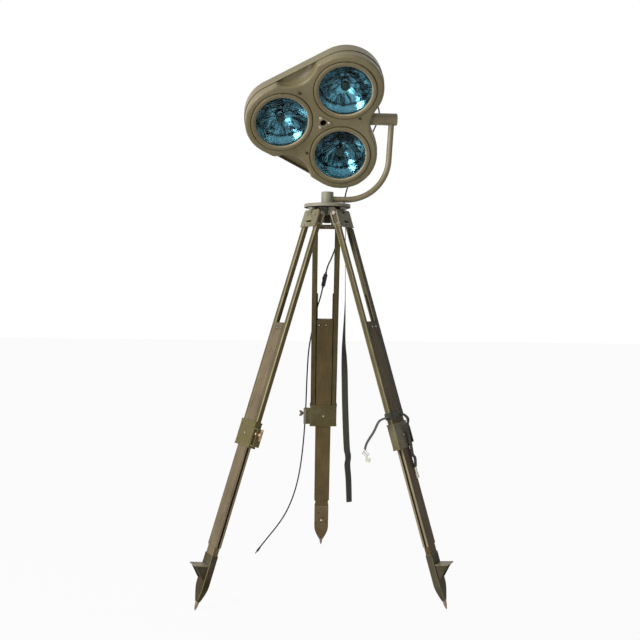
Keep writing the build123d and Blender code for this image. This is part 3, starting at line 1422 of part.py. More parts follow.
with BuildPart() as lead_plug:
    with BuildSketch(PLUG_PLANE):
        Circle(PLUG_MOUTH_RADIUS)
    with BuildSketch(PLUG_PLANE.offset(PLUG_SLEEVE)):
        Circle(PLUG_RADIUS)
    loft()
    with BuildSketch(PLUG_PLANE.offset(PLUG_SLEEVE)):
        Circle(PLUG_RADIUS)
    extrude(amount=PLUG_GRIP)
    with BuildSketch(PLUG_PLANE.offset(PLUG_SLEEVE + PLUG_GRIP)):
        Circle(PLUG_TIP_RADIUS)
    extrude(amount=PLUG_LENGTH - PLUG_SLEEVE - PLUG_GRIP)
lead_plug.part.label = "lead_plug"
export_step(lead_plug.part, "parts/lead_plug.step")


# Webbing on the right leg: a strap along the bar and round it, its two loose ends and their buckles
def ribbon(plane, points, bend, start, width):
    """Webbing seen edge-on along its points, width wide from start on its plane."""
    with BuildPart() as web:
        with BuildSketch(plane.offset(start)):
            with BuildLine():
                FilletPolyline(*points, radius=bend)
            trace(line_width=STRAP_THICKNESS)
        extrude(amount=width)
    return web.part


STRAP_CLEARANCE = 0.1
STRAP_FACE = BAR_DEPTH / 2 + STRAP_CLEARANCE
STRAP_MIDDLE = -BAR_OFFSET - 1.0
LOOP_CLEARANCE = 0.3
LOOP_TOP = COLLAR_AT - 43.0
LOOP_LAP = 2.0
LOOP_CORNER = 4.0
LOOP_X = LEG_WIDTH / 2 + LOOP_CLEARANCE
LOOP_Y = STRAP_FACE + STRAP_THICKNESS + LOOP_CLEARANCE

with BuildPart() as leg_strap:
    with BuildSketch(Plane.XY.offset(-LOOP_TOP - LOOP_LAP)):
        with Locations((STRAP_MIDDLE, STRAP_FACE + STRAP_THICKNESS / 2)):
            Rectangle(STRAP_WIDTH, STRAP_THICKNESS)
    extrude(amount=LOOP_TOP - WEB_DROP)
    with BuildSketch(Plane.XY.offset(-LOOP_TOP)):
        RectangleRounded(2 * (LOOP_X + STRAP_THICKNESS), 2 * (LOOP_Y + STRAP_THICKNESS), LOOP_CORNER)
        RectangleRounded(2 * LOOP_X, 2 * LOOP_Y, LOOP_CORNER - STRAP_THICKNESS, mode=Mode.SUBTRACT)
    extrude(amount=-STRAP_WIDTH)
    with BuildSketch(Plane.XY.offset(-LOOP_TOP)):
        with Locations((STRAP_MIDDLE, STRAP_FACE + STRAP_THICKNESS)):
            Rectangle(STRAP_WIDTH, 2 * STRAP_THICKNESS)
        Rectangle(LEG_WIDTH, 2 * STRAP_FACE, mode=Mode.SUBTRACT)
    extrude(amount=-STRAP_WIDTH)
write("leg_strap", leg_strap.part.moved(leg_frame("right")))

# The tails' points are distances out from the loop's middle and up from its top
LOOP_PLACE = (leg_frame("right") * Location((0, 0, -LOOP_TOP))).position
FAR_TAIL_PLANE = Plane(origin=LOOP_PLACE, x_dir=lug_frame("right").x_dir, z_dir=lug_frame("right").z_dir)
FAR_TAIL = (
    (18.9, -9.5),
    (32.4, -13.5),
    (48.4, -29.5),
    (46.4, -66.5),
    (61.4, -124.5),
    (69.4, -161.5),
    (79.4, -175.5),
    (82.4, -209.5),
)
FAR_TAIL_BEND = 4.0
FAR_TAIL_MIDDLE = -29.5
NEAR_TAIL_TURN = radians(12)
NEAR_TAIL_PLANE = Plane(
    origin=LOOP_PLACE + Vector(0, -60.9, 0),
    x_dir=(cos(NEAR_TAIL_TURN), sin(NEAR_TAIL_TURN), 0),
    z_dir=(sin(NEAR_TAIL_TURN), -cos(NEAR_TAIL_TURN), 0),
)
NEAR_TAIL = (
    (-23.0, -12.5),
    (-38.0, -15.5),
    (-61.0, -27.5),
    (-80.0, -64.5),
    (-106.0, -105.5),
    (-114.0, -131.5),
)
NEAR_TAIL_BEND = 6.0

write(
    "strap_tails",
    ribbon(NEAR_TAIL_PLANE, NEAR_TAIL, NEAR_TAIL_BEND, -STRAP_WIDTH / 2, STRAP_WIDTH),
    ribbon(FAR_TAIL_PLANE, FAR_TAIL, FAR_TAIL_BEND, FAR_TAIL_MIDDLE - STRAP_WIDTH / 2, STRAP_WIDTH),
)


BUCKLE_WIRE = 3.0


def buckle(width, height, tilt):
    """Rectangular wire frame with a middle bar, upright and seen from -Y."""
    with BuildPart() as frame:
        with BuildSketch(Plane.XZ):
            with Locations(Location((0, 0, 0), (0, 0, tilt))):
                RectangleRounded(width, height, BUCKLE_WIRE)
                with Locations((0, height / 4), (0, -height / 4)):
                    Rectangle(width - 2 * BUCKLE_WIRE, height / 2 - 1.5 * BUCKLE_WIRE, mode=Mode.SUBTRACT)
        extrude(amount=BUCKLE_WIRE)
    return frame.part


# The near tail's buckles hang free and the far tail's lie on the board's face
BUCKLE_ON_BOARD = BOARD_DEPTH / 2 + BUCKLE_WIRE + 2 * STOP_GAP
BUCKLES = (
    (Location(LOOP_PLACE + Vector(-108.0, -86.1, -145.5)), 24.0, 18.0, -40.0),
    (Location(LOOP_PLACE + Vector(-98.9, -86.1, -168.7)), 18.0, 16.0, -20.0),
    (leg_frame("right") * Location((FAR_TAIL_MIDDLE, BUCKLE_ON_BOARD, -1029)), 20.0, 18.0, 0.0),
    (leg_frame("right") * Location((FAR_TAIL_MIDDLE, BUCKLE_ON_BOARD, -1050.3)), 24.0, 24.0, 0.0),
)
write("strap_buckles", *[buckle(*size).moved(place) for place, *size in BUCKLES])

# Hanging strap: twisted webbing from the right hinge lug, as stations of drop below the hinge, x and turn
HANGING_Y = -30.0
HANGING_STATIONS = (
    (11.0, 52.0, 90.0),
    (30.0, 62.0, 90.0),
    (55.0, 71.5, 90.0),
    (114.0, 71.5, 90.0),
    (338.0, 73.5, 86.0),
    (495.0, 68.8, 60.0),
    (565.0, 69.4, 32.0),
    (636.0, 70.4, 5.0),
    (730.0, 71.0, 0.0),
    (887.0, 78.2, 5.0),
    (958.0, 91.0, 12.0),
    (1137.0, 89.2, 5.0),
)

with BuildPart() as hanging_strap:
    for drop, x, turn in HANGING_STATIONS:
        with BuildSketch(Plane.XY.offset(HINGE_HEIGHT - drop)):
            with Locations(Location((x, HANGING_Y, 0), (0, 0, turn))):
                Rectangle(STRAP_WIDTH, STRAP_THICKNESS)
    loft(ruled=True)
hanging_strap.part.label = "hanging_strap"
export_step(hanging_strap.part, "parts/hanging_strap.step")
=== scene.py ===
# %% [markdown]
# # A three-lamp field operating light
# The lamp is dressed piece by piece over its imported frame: olive enamel, blue-green filter glasses,
# wooden tripod legs, webbing straps and a rubber lead. Each cell makes one piece or one finish.

# %% Load the frame
import bpy
import json
from math import atan2, cos, pi, radians, sin, tan
from mathutils import Matrix, Vector


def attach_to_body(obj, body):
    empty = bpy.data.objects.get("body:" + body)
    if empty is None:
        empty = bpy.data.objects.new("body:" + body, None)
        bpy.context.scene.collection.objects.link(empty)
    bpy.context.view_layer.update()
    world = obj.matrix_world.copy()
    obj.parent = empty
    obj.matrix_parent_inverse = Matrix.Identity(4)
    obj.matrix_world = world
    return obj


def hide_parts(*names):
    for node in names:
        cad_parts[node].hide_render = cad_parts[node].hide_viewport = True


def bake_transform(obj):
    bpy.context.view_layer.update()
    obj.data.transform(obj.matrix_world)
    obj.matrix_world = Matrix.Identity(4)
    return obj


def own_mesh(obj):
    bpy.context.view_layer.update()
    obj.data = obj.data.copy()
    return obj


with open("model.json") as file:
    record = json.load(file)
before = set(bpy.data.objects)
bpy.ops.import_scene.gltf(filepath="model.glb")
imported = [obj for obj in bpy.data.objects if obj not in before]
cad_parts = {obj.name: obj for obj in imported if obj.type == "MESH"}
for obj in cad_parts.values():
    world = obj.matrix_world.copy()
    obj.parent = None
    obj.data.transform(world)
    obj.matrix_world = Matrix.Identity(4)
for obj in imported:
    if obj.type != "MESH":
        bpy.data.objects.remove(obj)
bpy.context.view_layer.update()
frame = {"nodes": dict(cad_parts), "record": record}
nodes = frame["nodes"]
bpy.ops.object.select_all(action="DESELECT")
print("nodes loaded:", len(nodes))

# %% [markdown]
# ## Camera
# The photograph was taken from about chest height, 3.4 m away, with a normal lens. A camera is placed by
# its right, up and backward directions, which become the columns of its matrix.

# %% Camera
CAMERA_PLACE = Vector((-0.0246, -3.4048, 1.2023))
CAMERA_PITCH = radians(2.354)
CAMERA_ROLL = radians(0.545)
FOCAL_LENGTH = 48.39

forward = Vector((0, cos(CAMERA_PITCH), -sin(CAMERA_PITCH)))
level_right = Vector((1, 0, 0))
level_up = level_right.cross(forward)
camera_right = level_right * cos(CAMERA_ROLL) + level_up * sin(CAMERA_ROLL)
camera_up = level_up * cos(CAMERA_ROLL) - level_right * sin(CAMERA_ROLL)
turn = Matrix((camera_right, camera_up, -forward)).transposed().to_4x4()

bpy.ops.object.camera_add()
camera = bpy.context.object
camera.name = "photo_camera"
camera.matrix_world = Matrix.Translation(CAMERA_PLACE) @ turn
camera.data.lens = FOCAL_LENGTH
camera.data.sensor_width = 36.0
bpy.context.scene.camera = camera
print("camera at", tuple(round(v, 3) for v in CAMERA_PLACE))

# %% [markdown]
# ## The lead's route
# A rubber lead leaves the gland on the head's back, loops over behind the arm and hangs down behind the
# tripod to an in-line switch, and from there to a small plug on the floor. Its line is one smooth spline
# for each stretch, with listed points that the spline rounds off.

# %% Lead routes
GLAND_EXIT = (0.08160, 0.06476, 1.95054)
GLAND_RUN = (0.07971, 0.08694, 1.96752)
LEAD_SPLIT = (0.1985, 0.1300, 1.8580)
LEAD_JOIN = (0.068, 0.183, 1.524)
SWITCH_TOP = (-0.001, 0.154, 1.254)
SWITCH_BOTTOM = (-0.015, 0.173, 1.188)
LEAD_DIAMETER = 0.006

LEAD_BEHIND_HEAD = [
    GLAND_EXIT,
    GLAND_RUN,
    (0.097, 0.112, 1.984),
    (0.130, 0.128, 1.987),
    (0.163, 0.127, 1.975),
    (0.191, 0.122, 1.950),
    (0.209, 0.121, 1.913),
    (0.207, 0.125, 1.875),
    LEAD_SPLIT,
]
LEAD_BEHIND_ARM = [
    LEAD_SPLIT,
    (0.190, 0.135, 1.841),
    (0.172, 0.152, 1.800),
    (0.151, 0.178, 1.752),
    (0.128, 0.206, 1.706),
    (0.107, 0.222, 1.662),
    (0.090, 0.220, 1.624),
    (0.079, 0.210, 1.590),
    (0.0724, 0.1947, 1.5546),
    LEAD_JOIN,
]
LEAD_TO_SWITCH = [
    LEAD_JOIN,
    (0.06184, 0.16662, 1.48116),
    (0.053, 0.149, 1.430),
    (0.043, 0.135, 1.385),
    (0.033, 0.126, 1.345),
    (0.019, 0.133, 1.308),
    (0.0046, 0.1464, 1.2804),
    SWITCH_TOP,
]
LEAD_TO_PLUG = [
    SWITCH_BOTTOM,
    (-0.0234, 0.1844, 1.1484),
    (-0.038, 0.203, 1.105),
    (-0.050, 0.221, 1.045),
    (-0.062, 0.240, 0.985),
    (-0.072, 0.259, 0.923),
    (-0.076, 0.280, 0.860),
    (-0.079, 0.303, 0.795),
    (-0.081, 0.324, 0.730),
    (-0.083, 0.347, 0.668),
    (-0.086, 0.363, 0.606),
    (-0.090, 0.370, 0.545),
    (-0.095, 0.375, 0.485),
    (-0.102, 0.380, 0.420),
    (-0.112, 0.386, 0.355),
    (-0.127, 0.392, 0.290),
    (-0.148, 0.396, 0.228),
    (-0.176, 0.396, 0.170),
    (-0.209, 0.395, 0.122),
    (-0.243, 0.392, 0.080),
    (-0.266, 0.389, 0.0515),
    (-0.2815, 0.387, 0.031),
]

# %% [markdown]
# ## From a route to a round lead
# A NURBS curve takes the points as its control points. Its order and end setting come after the points, or
# it would stay a chain of straight runs. Without a bevel it gives its centre line, and with a round bevel
# it gives the lead itself, which is turned into a mesh.


# %% Lead maker
def spline_curve(name, route, thickness=0.0):
    data = bpy.data.curves.new(name, "CURVE")
    data.dimensions = "3D"
    data.resolution_u = 8
    data.bevel_depth = thickness / 2
    data.bevel_resolution = 5
    data.use_fill_caps = thickness > 0
    spline = data.splines.new("NURBS")
    spline.points.add(len(route) - 1)
    for point, place in zip(spline.points, route):
        point.co = (*place, 1.0)
    spline.order_u = 3
    spline.use_endpoint_u = True
    curve = bpy.data.objects.new(name, data)
    bpy.context.collection.objects.link(curve)
    return curve


def centre_line(route):
    """Points along the route's smooth line."""
    curve = spline_curve("centre_line", route)
    mesh = bpy.data.meshes.new_from_object(curve)
    line = [vertex.co.copy() for vertex in mesh.vertices]
    bpy.data.objects.remove(curve)
    return line


def choose(piece):
    """Leaves only this piece selected and active."""
    bpy.ops.object.select_all(action="DESELECT")
    piece.select_set(True)
    bpy.context.view_layer.objects.active = piece


def round_lead(name, route):
    piece = spline_curve(name, route, LEAD_DIAMETER)
    choose(piece)
    bpy.ops.object.convert(target="MESH")
    bpy.ops.object.shade_smooth()
    return bpy.context.object


# %% [markdown]
# ## Four stretches of lead
# The first stretch runs from the head to the yoke, and the second from the yoke to the tripod; both are
# baked where they lie. The other two hang still.

# %% Leads
behind_head = round_lead("lead_behind_head", LEAD_BEHIND_HEAD)
behind_arm = round_lead("lead_behind_arm", LEAD_BEHIND_ARM)
to_switch = round_lead("lead_to_switch", LEAD_TO_SWITCH)
to_plug = round_lead("lead_to_plug", LEAD_TO_PLUG)
LEADS = [behind_head, behind_arm, to_switch, to_plug]

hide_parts("lead_upper")
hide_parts("lead_upper")
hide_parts("lead_lower")
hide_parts("lead_tail")
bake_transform(behind_head)
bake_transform(behind_arm)
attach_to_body(to_switch, "root")
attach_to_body(to_plug, "root")

# %% [markdown]
# ## Smooth copies of the solid pieces
# The imported solids are loose triangles. A copy whose doubles are merged can be shaded smooth, with its
# hard corners kept. Flat faces stay flat through a Weighted Normal modifier, and a piece that is rounded on
# the real lamp gets a small bevel, whose faces take a second finish: a lighter copy of the paint as a
# painted highlight, and on the boards and the rear leg's bars a darker one as painted shade.


# %% Smooth copies
BODY_OF = {node: body for body, held in frame["record"]["behaviour"]["bodies"].items() for node in held}
SLOT_OF = {part["node"]: part["material_slot"] for part in frame["record"]["subparts"]}
dressed = {}


def even_normals(piece):
    """Shades flat faces flat although their corners are shared."""
    weighted = piece.modifiers.new("weighted", "WEIGHTED_NORMAL")
    weighted.keep_sharp = True
    bpy.ops.object.modifier_apply(modifier="weighted")


def round_edges(piece, width, angle=40, segments=2, edge_tint=True):
    """Bevels the corners sharper than an angle; the new faces take the piece's second finish."""
    rounding = piece.modifiers.new("rounding", "BEVEL")
    rounding.width = width
    rounding.segments = segments
    rounding.limit_method = "ANGLE"
    rounding.angle_limit = radians(angle)
    rounding.use_clamp_overlap = True
    # The bevel faces take the second finish, a painted highlight on most pieces and painted shade on the
    # boards.
    rounding.material = 1 if edge_tint else -1
    bpy.ops.object.modifier_apply(modifier="rounding")


def smooth_copy(node, sharp=30.0, bevel=0.0):
    """A merged copy that stands for its node, shaded smooth up to an angle, with bevelled edges."""
    piece = bpy.data.objects.new(f"{node}_skin", nodes[node].data.copy())
    bpy.context.collection.objects.link(piece)
    piece.data.materials.clear()
    choose(piece)
    bpy.ops.object.mode_set(mode="EDIT")
    bpy.ops.mesh.select_all(action="SELECT")
    bpy.ops.mesh.remove_doubles(threshold=0.00001)
    if bevel > 0:
        bpy.ops.mesh.dissolve_limited(angle_limit=radians(0.5))
    bpy.ops.object.mode_set(mode="OBJECT")
    if bevel > 0:
        piece.data.materials.append(None)
        piece.data.materials.append(None)
        round_edges(piece, bevel, sharp + 8)
    bpy.ops.object.shade_smooth_by_angle(angle=radians(sharp))
    even_normals(piece)
    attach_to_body(piece, BODY_OF[node])
    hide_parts(node)
    dressed[node] = piece
    return piece


# %% [markdown]
# The front cover is a thick casting with no sharp corner on it: the face rolls over into the scoops and the
# rim. Its copy is turned into the head's own frame and remeshed evenly, and a Smooth modifier then rounds
# it, held back round the lamp recesses and at the seam, where it has to keep its fit.

# %% The head's own frame
HEAD_MIDDLE = Vector((-0.02506, -0.00214, 1.8562))
HEAD_ACROSS = Vector((0.99638, 0.08507, 0.0))
HEAD_UP = Vector((0.05160, -0.60434, 0.79506))
HEAD_OUT = Vector((0.06763, -0.79217, -0.60654))
LAMP_CIRCLE = 0.1574
LAMP_BEARINGS = {1: 180.0, 2: 60.0, 3: -60.0}
LAMP_OPENING = 0.1017
head_turn = Matrix((HEAD_ACROSS, HEAD_UP, HEAD_OUT)).transposed().to_4x4()
head_matrix = Matrix.Translation(HEAD_MIDDLE) @ head_turn
to_head = head_matrix.inverted()
LAMPS = {
    number: Vector((LAMP_CIRCLE * cos(radians(bearing)), LAMP_CIRCLE * sin(radians(bearing))))
    for number, bearing in LAMP_BEARINGS.items()
}


def nearest_lamp(place):
    """The lamp nearest to a point, with the point's place on that lamp's face."""
    x, y, _ = to_head @ place
    number = min(LAMPS, key=lambda n: (Vector((x, y)) - LAMPS[n]).length)
    return number, Vector((x, y)) - LAMPS[number]


# %% Soft casting
COVER_VOXEL = 0.0019
COVER_SOFTENING = 130
HELD_RECESS = 0.1235
FREE_RECESS = 0.1300
HELD_SEAM = 0.001
FREE_SEAM = 0.006
COVER_THINNING = 0.5
HELD_SOCKET = 0.030


def ramp(value, low, high):
    return min(max((value - low) / (high - low), 0.0), 1.0)


def soften_cover(piece):
    piece.data.transform(to_head)
    choose(piece)
    even = piece.modifiers.new("even_mesh", "REMESH")
    even.mode = "VOXEL"
    even.voxel_size = COVER_VOXEL
    bpy.ops.object.modifier_apply(modifier="even_mesh")
    loose = piece.vertex_groups.new(name="loose")
    for vertex in piece.data.vertices:
        x, y, z = vertex.co
        from_lamp = min((Vector((x, y)) - lamp).length for lamp in LAMPS.values())
        weight = ramp(from_lamp, HELD_RECESS, FREE_RECESS) * ramp(z, HELD_SEAM, FREE_SEAM)
        if Vector((x, y)).length < HELD_SOCKET:
            weight = 0.0
        loose.add([vertex.index], weight, "REPLACE")
    softening = piece.modifiers.new("softening", "SMOOTH")
    softening.factor = 0.5
    softening.iterations = COVER_SOFTENING
    softening.vertex_group = "loose"
    bpy.ops.object.modifier_apply(modifier="softening")
    thinning = piece.modifiers.new("thinning", "DECIMATE")
    thinning.ratio = COVER_THINNING
    bpy.ops.object.modifier_apply(modifier="thinning")
    piece.vertex_groups.clear()
    piece.data.transform(head_matrix)
    bpy.ops.object.shade_smooth_by_angle(angle=radians(40))
    print("cover:", len(piece.data.polygons), "faces")


# %% Copy every rigid node
LEGS = ("rear", "right", "left")
SOFT_NODES = ("lead_upper", "lead_lower", "lead_tail", "hanging_strap", "leg_strap", "strap_tails")
REMADE = ("foot_shoe_rear", "foot_shoe_right", "foot_shoe_left")
BEVELS = {
    "leg_bars": 0.0006,
    "leg_board": 0.0022,
    "hinge_casting": 0.0009,
    "collar": 0.0006,
    "head_disc": 0.0006,
}
for node in nodes:
    if node in SOFT_NODES or node in REMADE:
        continue
    kind = node.rsplit("_", 1)[0]
    smooth_copy(node, bevel=BEVELS.get(kind, BEVELS.get(node, 0.0)))
soften_cover(dressed["front_cover"])
print("smooth copies:", len(dressed))

# %% [markdown]
# ## What each stretch of lead is
# Each stretch's centre line is taken along the same smooth line that the lead follows.

STRETCHES = (
    (behind_head, LEAD_BEHIND_HEAD, "object"),
    (behind_arm, LEAD_BEHIND_ARM, "object"),
    (to_switch, LEAD_TO_SWITCH, "connector"),
    (to_plug, LEAD_TO_PLUG, "plug"),
)
for piece, route, far_end in STRETCHES:
    line = centre_line(route)

# %% [markdown]
# ## Shader groups
# Paint, wood and webbing share a few effects. Each is a node group with named inputs, built once: a slow
# drift of tone, worn spots where the paint is gone, and a fine relief that catches the light.


# %% Group maker
def new_group(name, inputs, outputs):
    group = bpy.data.node_groups.new(name, "ShaderNodeTree")
    for label, kind, value in inputs:
        socket = group.interface.new_socket(label, in_out="INPUT", socket_type=kind)
        socket.default_value = value
    for label, kind in outputs:
        group.interface.new_socket(label, in_out="OUTPUT", socket_type=kind)
    return group, group.nodes.new("NodeGroupInput").outputs, group.nodes.new("NodeGroupOutput")


def feed(tree, socket, source):
    """Gives a socket a link, a colour or a value."""
    if isinstance(source, bpy.types.NodeSocket):
        tree.links.new(source, socket)
    elif socket.type == "RGBA":
        socket.default_value = (*source, 1.0)
    else:
        socket.default_value = source


def feed_all(tree, node, **sources):
    """Feeds a node's inputs by name; an underscore stands for a space."""
    for label, source in sources.items():
        feed(tree, node.inputs[label.replace("_", " ")], source)


def noise(tree, vector, scale, detail, roughness=0.55, distortion=0.0):
    node = tree.nodes.new("ShaderNodeTexNoise")
    feed_all(tree, node, Vector=vector, Scale=scale, Detail=detail)
    feed_all(tree, node, Roughness=roughness, Distortion=distortion)
    return node.outputs["Fac"]


def remap(tree, value, low, high, to_low=0.0, to_high=1.0):
    node = tree.nodes.new("ShaderNodeMapRange")
    node.interpolation_type = "SMOOTHSTEP"
    feed_all(tree, node, Value=value, From_Min=low, From_Max=high, To_Min=to_low, To_Max=to_high)
    return node.outputs["Result"]


def blend_colour(tree, factor, first, second, mode="MIX"):
    node = tree.nodes.new("ShaderNodeMix")
    node.data_type = "RGBA"
    node.blend_type = mode
    for name, source in (("Factor", factor), ("A", first), ("B", second)):
        sockets = [socket for socket in node.inputs if socket.name == name and socket.enabled]
        feed(tree, next(socket for socket in sockets if socket.type != "VECTOR"), source)
    return next(socket for socket in node.outputs if socket.name == "Result" and socket.enabled)


def combine(tree, operation, first, second=0.0, kind="ShaderNodeMath", result="Value"):
    """A sum of two values, or of two vectors with the vector kind."""
    node = tree.nodes.new(kind)
    node.operation = operation
    feed(tree, node.inputs[0], first)
    feed(tree, node.inputs[1], second)
    return node.outputs[result]


def combine_vectors(tree, operation, first, second=(0, 0, 0), result="Vector"):
    return combine(tree, operation, first, second, "ShaderNodeVectorMath", result)


# %% [markdown]
# ### Old paint
# Army enamel fades in slow clouds, is spotted by handling, and chips to a paler primer or bare metal.

# %% Old paint group
paint_group, given, result = new_group(
    "old_paint",
    [
        ("Paint", "NodeSocketColor", (0.2, 0.2, 0.15, 1)),
        ("Bare", "NodeSocketColor", (0.3, 0.27, 0.2, 1)),
        ("Drift", "NodeSocketFloat", 0.15),
        ("Wear", "NodeSocketFloat", 0.1),
        ("Chip Scale", "NodeSocketFloat", 60.0),
        ("Base Roughness", "NodeSocketFloat", 0.5),
    ],
    [("Color", "NodeSocketColor"), ("Roughness", "NodeSocketFloat"), ("Height", "NodeSocketFloat")],
)
place = paint_group.nodes.new("ShaderNodeTexCoord").outputs["Object"]
clouds = noise(paint_group, place, 7.0, 5.0)
spots = noise(paint_group, place, 85.0, 6.0, 0.65)
peel = noise(paint_group, place, 900.0, 2.0)
chip_noise = noise(paint_group, place, given["Chip Scale"], 9.0, 0.7)
drifted = combine(paint_group, "MULTIPLY", remap(paint_group, clouds, 0.3, 0.7), given["Drift"])
paler = blend_colour(paint_group, drifted, given["Paint"], (0.42, 0.40, 0.30))
speck = remap(paint_group, spots, 0.42, 0.62, 0.93, 1.03)
speckled = blend_colour(paint_group, 1.0, paler, speck, "MULTIPLY")
edge = combine(paint_group, "SUBTRACT", 0.78, combine(paint_group, "MULTIPLY", given["Wear"], 0.5))
chips = remap(paint_group, chip_noise, edge, combine(paint_group, "ADD", edge, 0.03))
unevenness = remap(paint_group, spots, 0.3, 0.7, -0.08, 0.1)
feed_all(
    paint_group,
    result,
    Color=blend_colour(paint_group, chips, speckled, given["Bare"]),
    Roughness=combine(paint_group, "ADD", given["Base Roughness"], unevenness),
    Height=combine(paint_group, "SUBTRACT", combine(paint_group, "MULTIPLY", peel, 0.4), chips),
)

# %% [markdown]
# ### Painted wood
# The legs are ash under worn brown-olive paint. Grain runs along each leg, so the pattern is turned to the
# leg and stretched along it.

# %% Painted wood group
wood_group, given, result = new_group(
    "painted_wood",
    [
        ("Vector", "NodeSocketVector", (0, 0, 0)),
        ("Paint", "NodeSocketColor", (0.1, 0.08, 0.04, 1)),
        ("Wood", "NodeSocketColor", (0.2, 0.15, 0.08, 1)),
        ("Wear", "NodeSocketFloat", 0.2),
    ],
    [("Color", "NodeSocketColor"), ("Roughness", "NodeSocketFloat"), ("Height", "NodeSocketFloat")],
)
along = combine_vectors(wood_group, "MULTIPLY", given["Vector"], (1.0, 1.0, 0.04))
grain = noise(wood_group, along, 260.0, 5.0, 0.6)
streaks = noise(wood_group, along, 70.0, 4.0, 0.6)
blotches = noise(wood_group, given["Vector"], 9.0, 5.0, 0.6)
streak_share = combine(wood_group, "MULTIPLY", streaks, 0.6)
worn_spots = combine(wood_group, "ADD", streak_share, combine(wood_group, "MULTIPLY", blotches, 0.4))
rubbed = remap(wood_group, worn_spots, combine(wood_group, "SUBTRACT", 0.75, given["Wear"]), 0.85)
colour = blend_colour(wood_group, rubbed, given["Paint"], given["Wood"])
for pattern, darkest in ((grain, 0.72), (blotches, 0.82)):
    shade = remap(wood_group, pattern, 0.3, 0.7, darkest, 1.12)
    colour = blend_colour(wood_group, 1.0, colour, shade, "MULTIPLY")
smoothness = remap(wood_group, grain, 0.3, 0.7, 0.62, 0.45)
feed_all(wood_group, result, Color=colour, Roughness=smoothness, Height=grain)

# %% [markdown]
# ### Webbing
# Webbing is woven in fine ribs across its width, with a herringbone of crossing yarns. The pattern reads
# the strap's own UV map, whose u runs across and whose v runs along in metres.

# %% Webbing group
weave_group, given, result = new_group(
    "webbing_weave",
    [("Yarn", "NodeSocketColor", (0.02, 0.02, 0.015, 1)), ("Rib", "NodeSocketFloat", 550.0)],
    [("Color", "NodeSocketColor"), ("Height", "NodeSocketFloat")],
)
split = weave_group.nodes.new("ShaderNodeSeparateXYZ")
feed_all(weave_group, split, Vector=weave_group.nodes.new("ShaderNodeUVMap").outputs["UV"])
across, down = (combine(weave_group, "MULTIPLY", split.outputs[axis], given["Rib"]) for axis in "XY")
FULL_TURN = 6.283


def ribs(operation):
    """Ribs along one diagonal: a wave of the sum or the difference of u and v."""
    diagonal = combine(weave_group, operation, across, down)
    return combine(weave_group, "SINE", combine(weave_group, "MULTIPLY", diagonal, FULL_TURN))


yarn = combine(weave_group, "MAXIMUM", ribs("ADD"), ribs("SUBTRACT"))
fuzz = noise(weave_group, weave_group.nodes.new("ShaderNodeTexCoord").outputs["Object"], 400.0, 3.0)
yarn_shade = remap(weave_group, yarn, -1.0, 1.0, 0.55, 1.15)
shade = combine(weave_group, "ADD", yarn_shade, remap(weave_group, fuzz, 0.3, 0.7, -0.15, 0.2))
colour = blend_colour(weave_group, 1.0, given["Yarn"], shade, "MULTIPLY")
feed_all(weave_group, result, Color=colour, Height=yarn)

# %% [markdown]
# ## Finishes
# Colours are given as they look on screen and turned into the linear values that shaders use.


# %% Material maker
def linear(red, green, blue):
    """Screen colour from 0 to 255 as linear values."""
    def one(value):
        value /= 255
        return value / 12.92 if value <= 0.04045 else ((value + 0.055) / 1.055) ** 2.4

    return one(red), one(green), one(blue)


def new_material(name, roughness=0.5, metallic=0.0):
    material = bpy.data.materials.new(name)
    material.use_nodes = True
    shader = material.node_tree.nodes["Principled BSDF"]
    shader.inputs["Roughness"].default_value = roughness
    shader.inputs["Metallic"].default_value = metallic
    return material, material.node_tree, shader


def relief(tree, shader, height, strength, distance):
    bump = tree.nodes.new("ShaderNodeBump")
    feed_all(tree, bump, Strength=strength, Distance=distance, Height=height)
    feed_all(tree, shader, Normal=bump.outputs["Normal"])


def place_group(tree, group, **sources):
    node = tree.nodes.new("ShaderNodeGroup")
    node.node_tree = group
    feed_all(tree, node, **sources)
    return node.outputs


def painted(name, paint, bare, roughness, drift, wear, chip_scale, bump, shine=0.25, metallic=0.0):
    material, tree, shader = new_material(name, metallic=metallic)
    look = place_group(
        tree,
        paint_group,
        Paint=linear(*paint),
        Bare=linear(*bare),
        Drift=drift,
        Wear=wear,
        Chip_Scale=chip_scale,
        Base_Roughness=roughness,
    )
    feed_all(tree, shader, Base_Color=look["Color"], Roughness=look["Roughness"], Specular_IOR_Level=shine)
    relief(tree, shader, look["Height"], bump, 0.0004)
    return material


# %% [markdown]
# ### Paints of the lamp
# The head and arm are khaki olive, the castings and disc a greyer khaki, and the collars and shoes a
# darker brown olive. Steel fittings are worn to a warm grey.

# %% Paints
shell_paint = painted("head_enamel", (119, 108, 76), (146, 132, 98), 0.36, 0.10, 0.06, 110.0, 0.12, 0.35)
# A lighter copy of the head enamel: a painted highlight on the rings' inner lips.
lip_highlight = painted("head_enamel_lip_highlight", (158, 150, 124), (120, 110, 84), 0.4, 0.10, 0.1, 110.0, 0.12)
tube_paint = painted("arm_enamel", (126, 114, 84), (160, 146, 112), 0.34, 0.12, 0.12, 90.0, 0.15, 0.4)
disc_paint = painted("disc_enamel", (132, 128, 110), (96, 84, 60), 0.45, 0.3, 0.3, 45.0, 0.4, 0.4)
casting_paint = painted("casting_enamel", (114, 106, 80), (66, 52, 28), 0.5, 0.35, 0.42, 75.0, 0.6)
# A lighter copy of the casting enamel: a painted highlight on the castings' cheeks and on the bevels of
# castings, disc and clamp flanges.
casting_edge_highlight = painted("casting_edge_highlight", (158, 150, 124), (112, 100, 74), 0.45, 0.25, 0.35, 70.0, 0.4)
# A darker copy of the casting enamel: painted shade in the castings' hollows.
casting_hollow_shade = painted("casting_hollow_shade", (70, 56, 30), (112, 92, 56), 0.6, 0.12, 0.34, 70.0, 0.5)
collar_paint = painted("collar_enamel", (92, 82, 42), (132, 116, 74), 0.45, 0.22, 0.20, 60.0, 0.3)
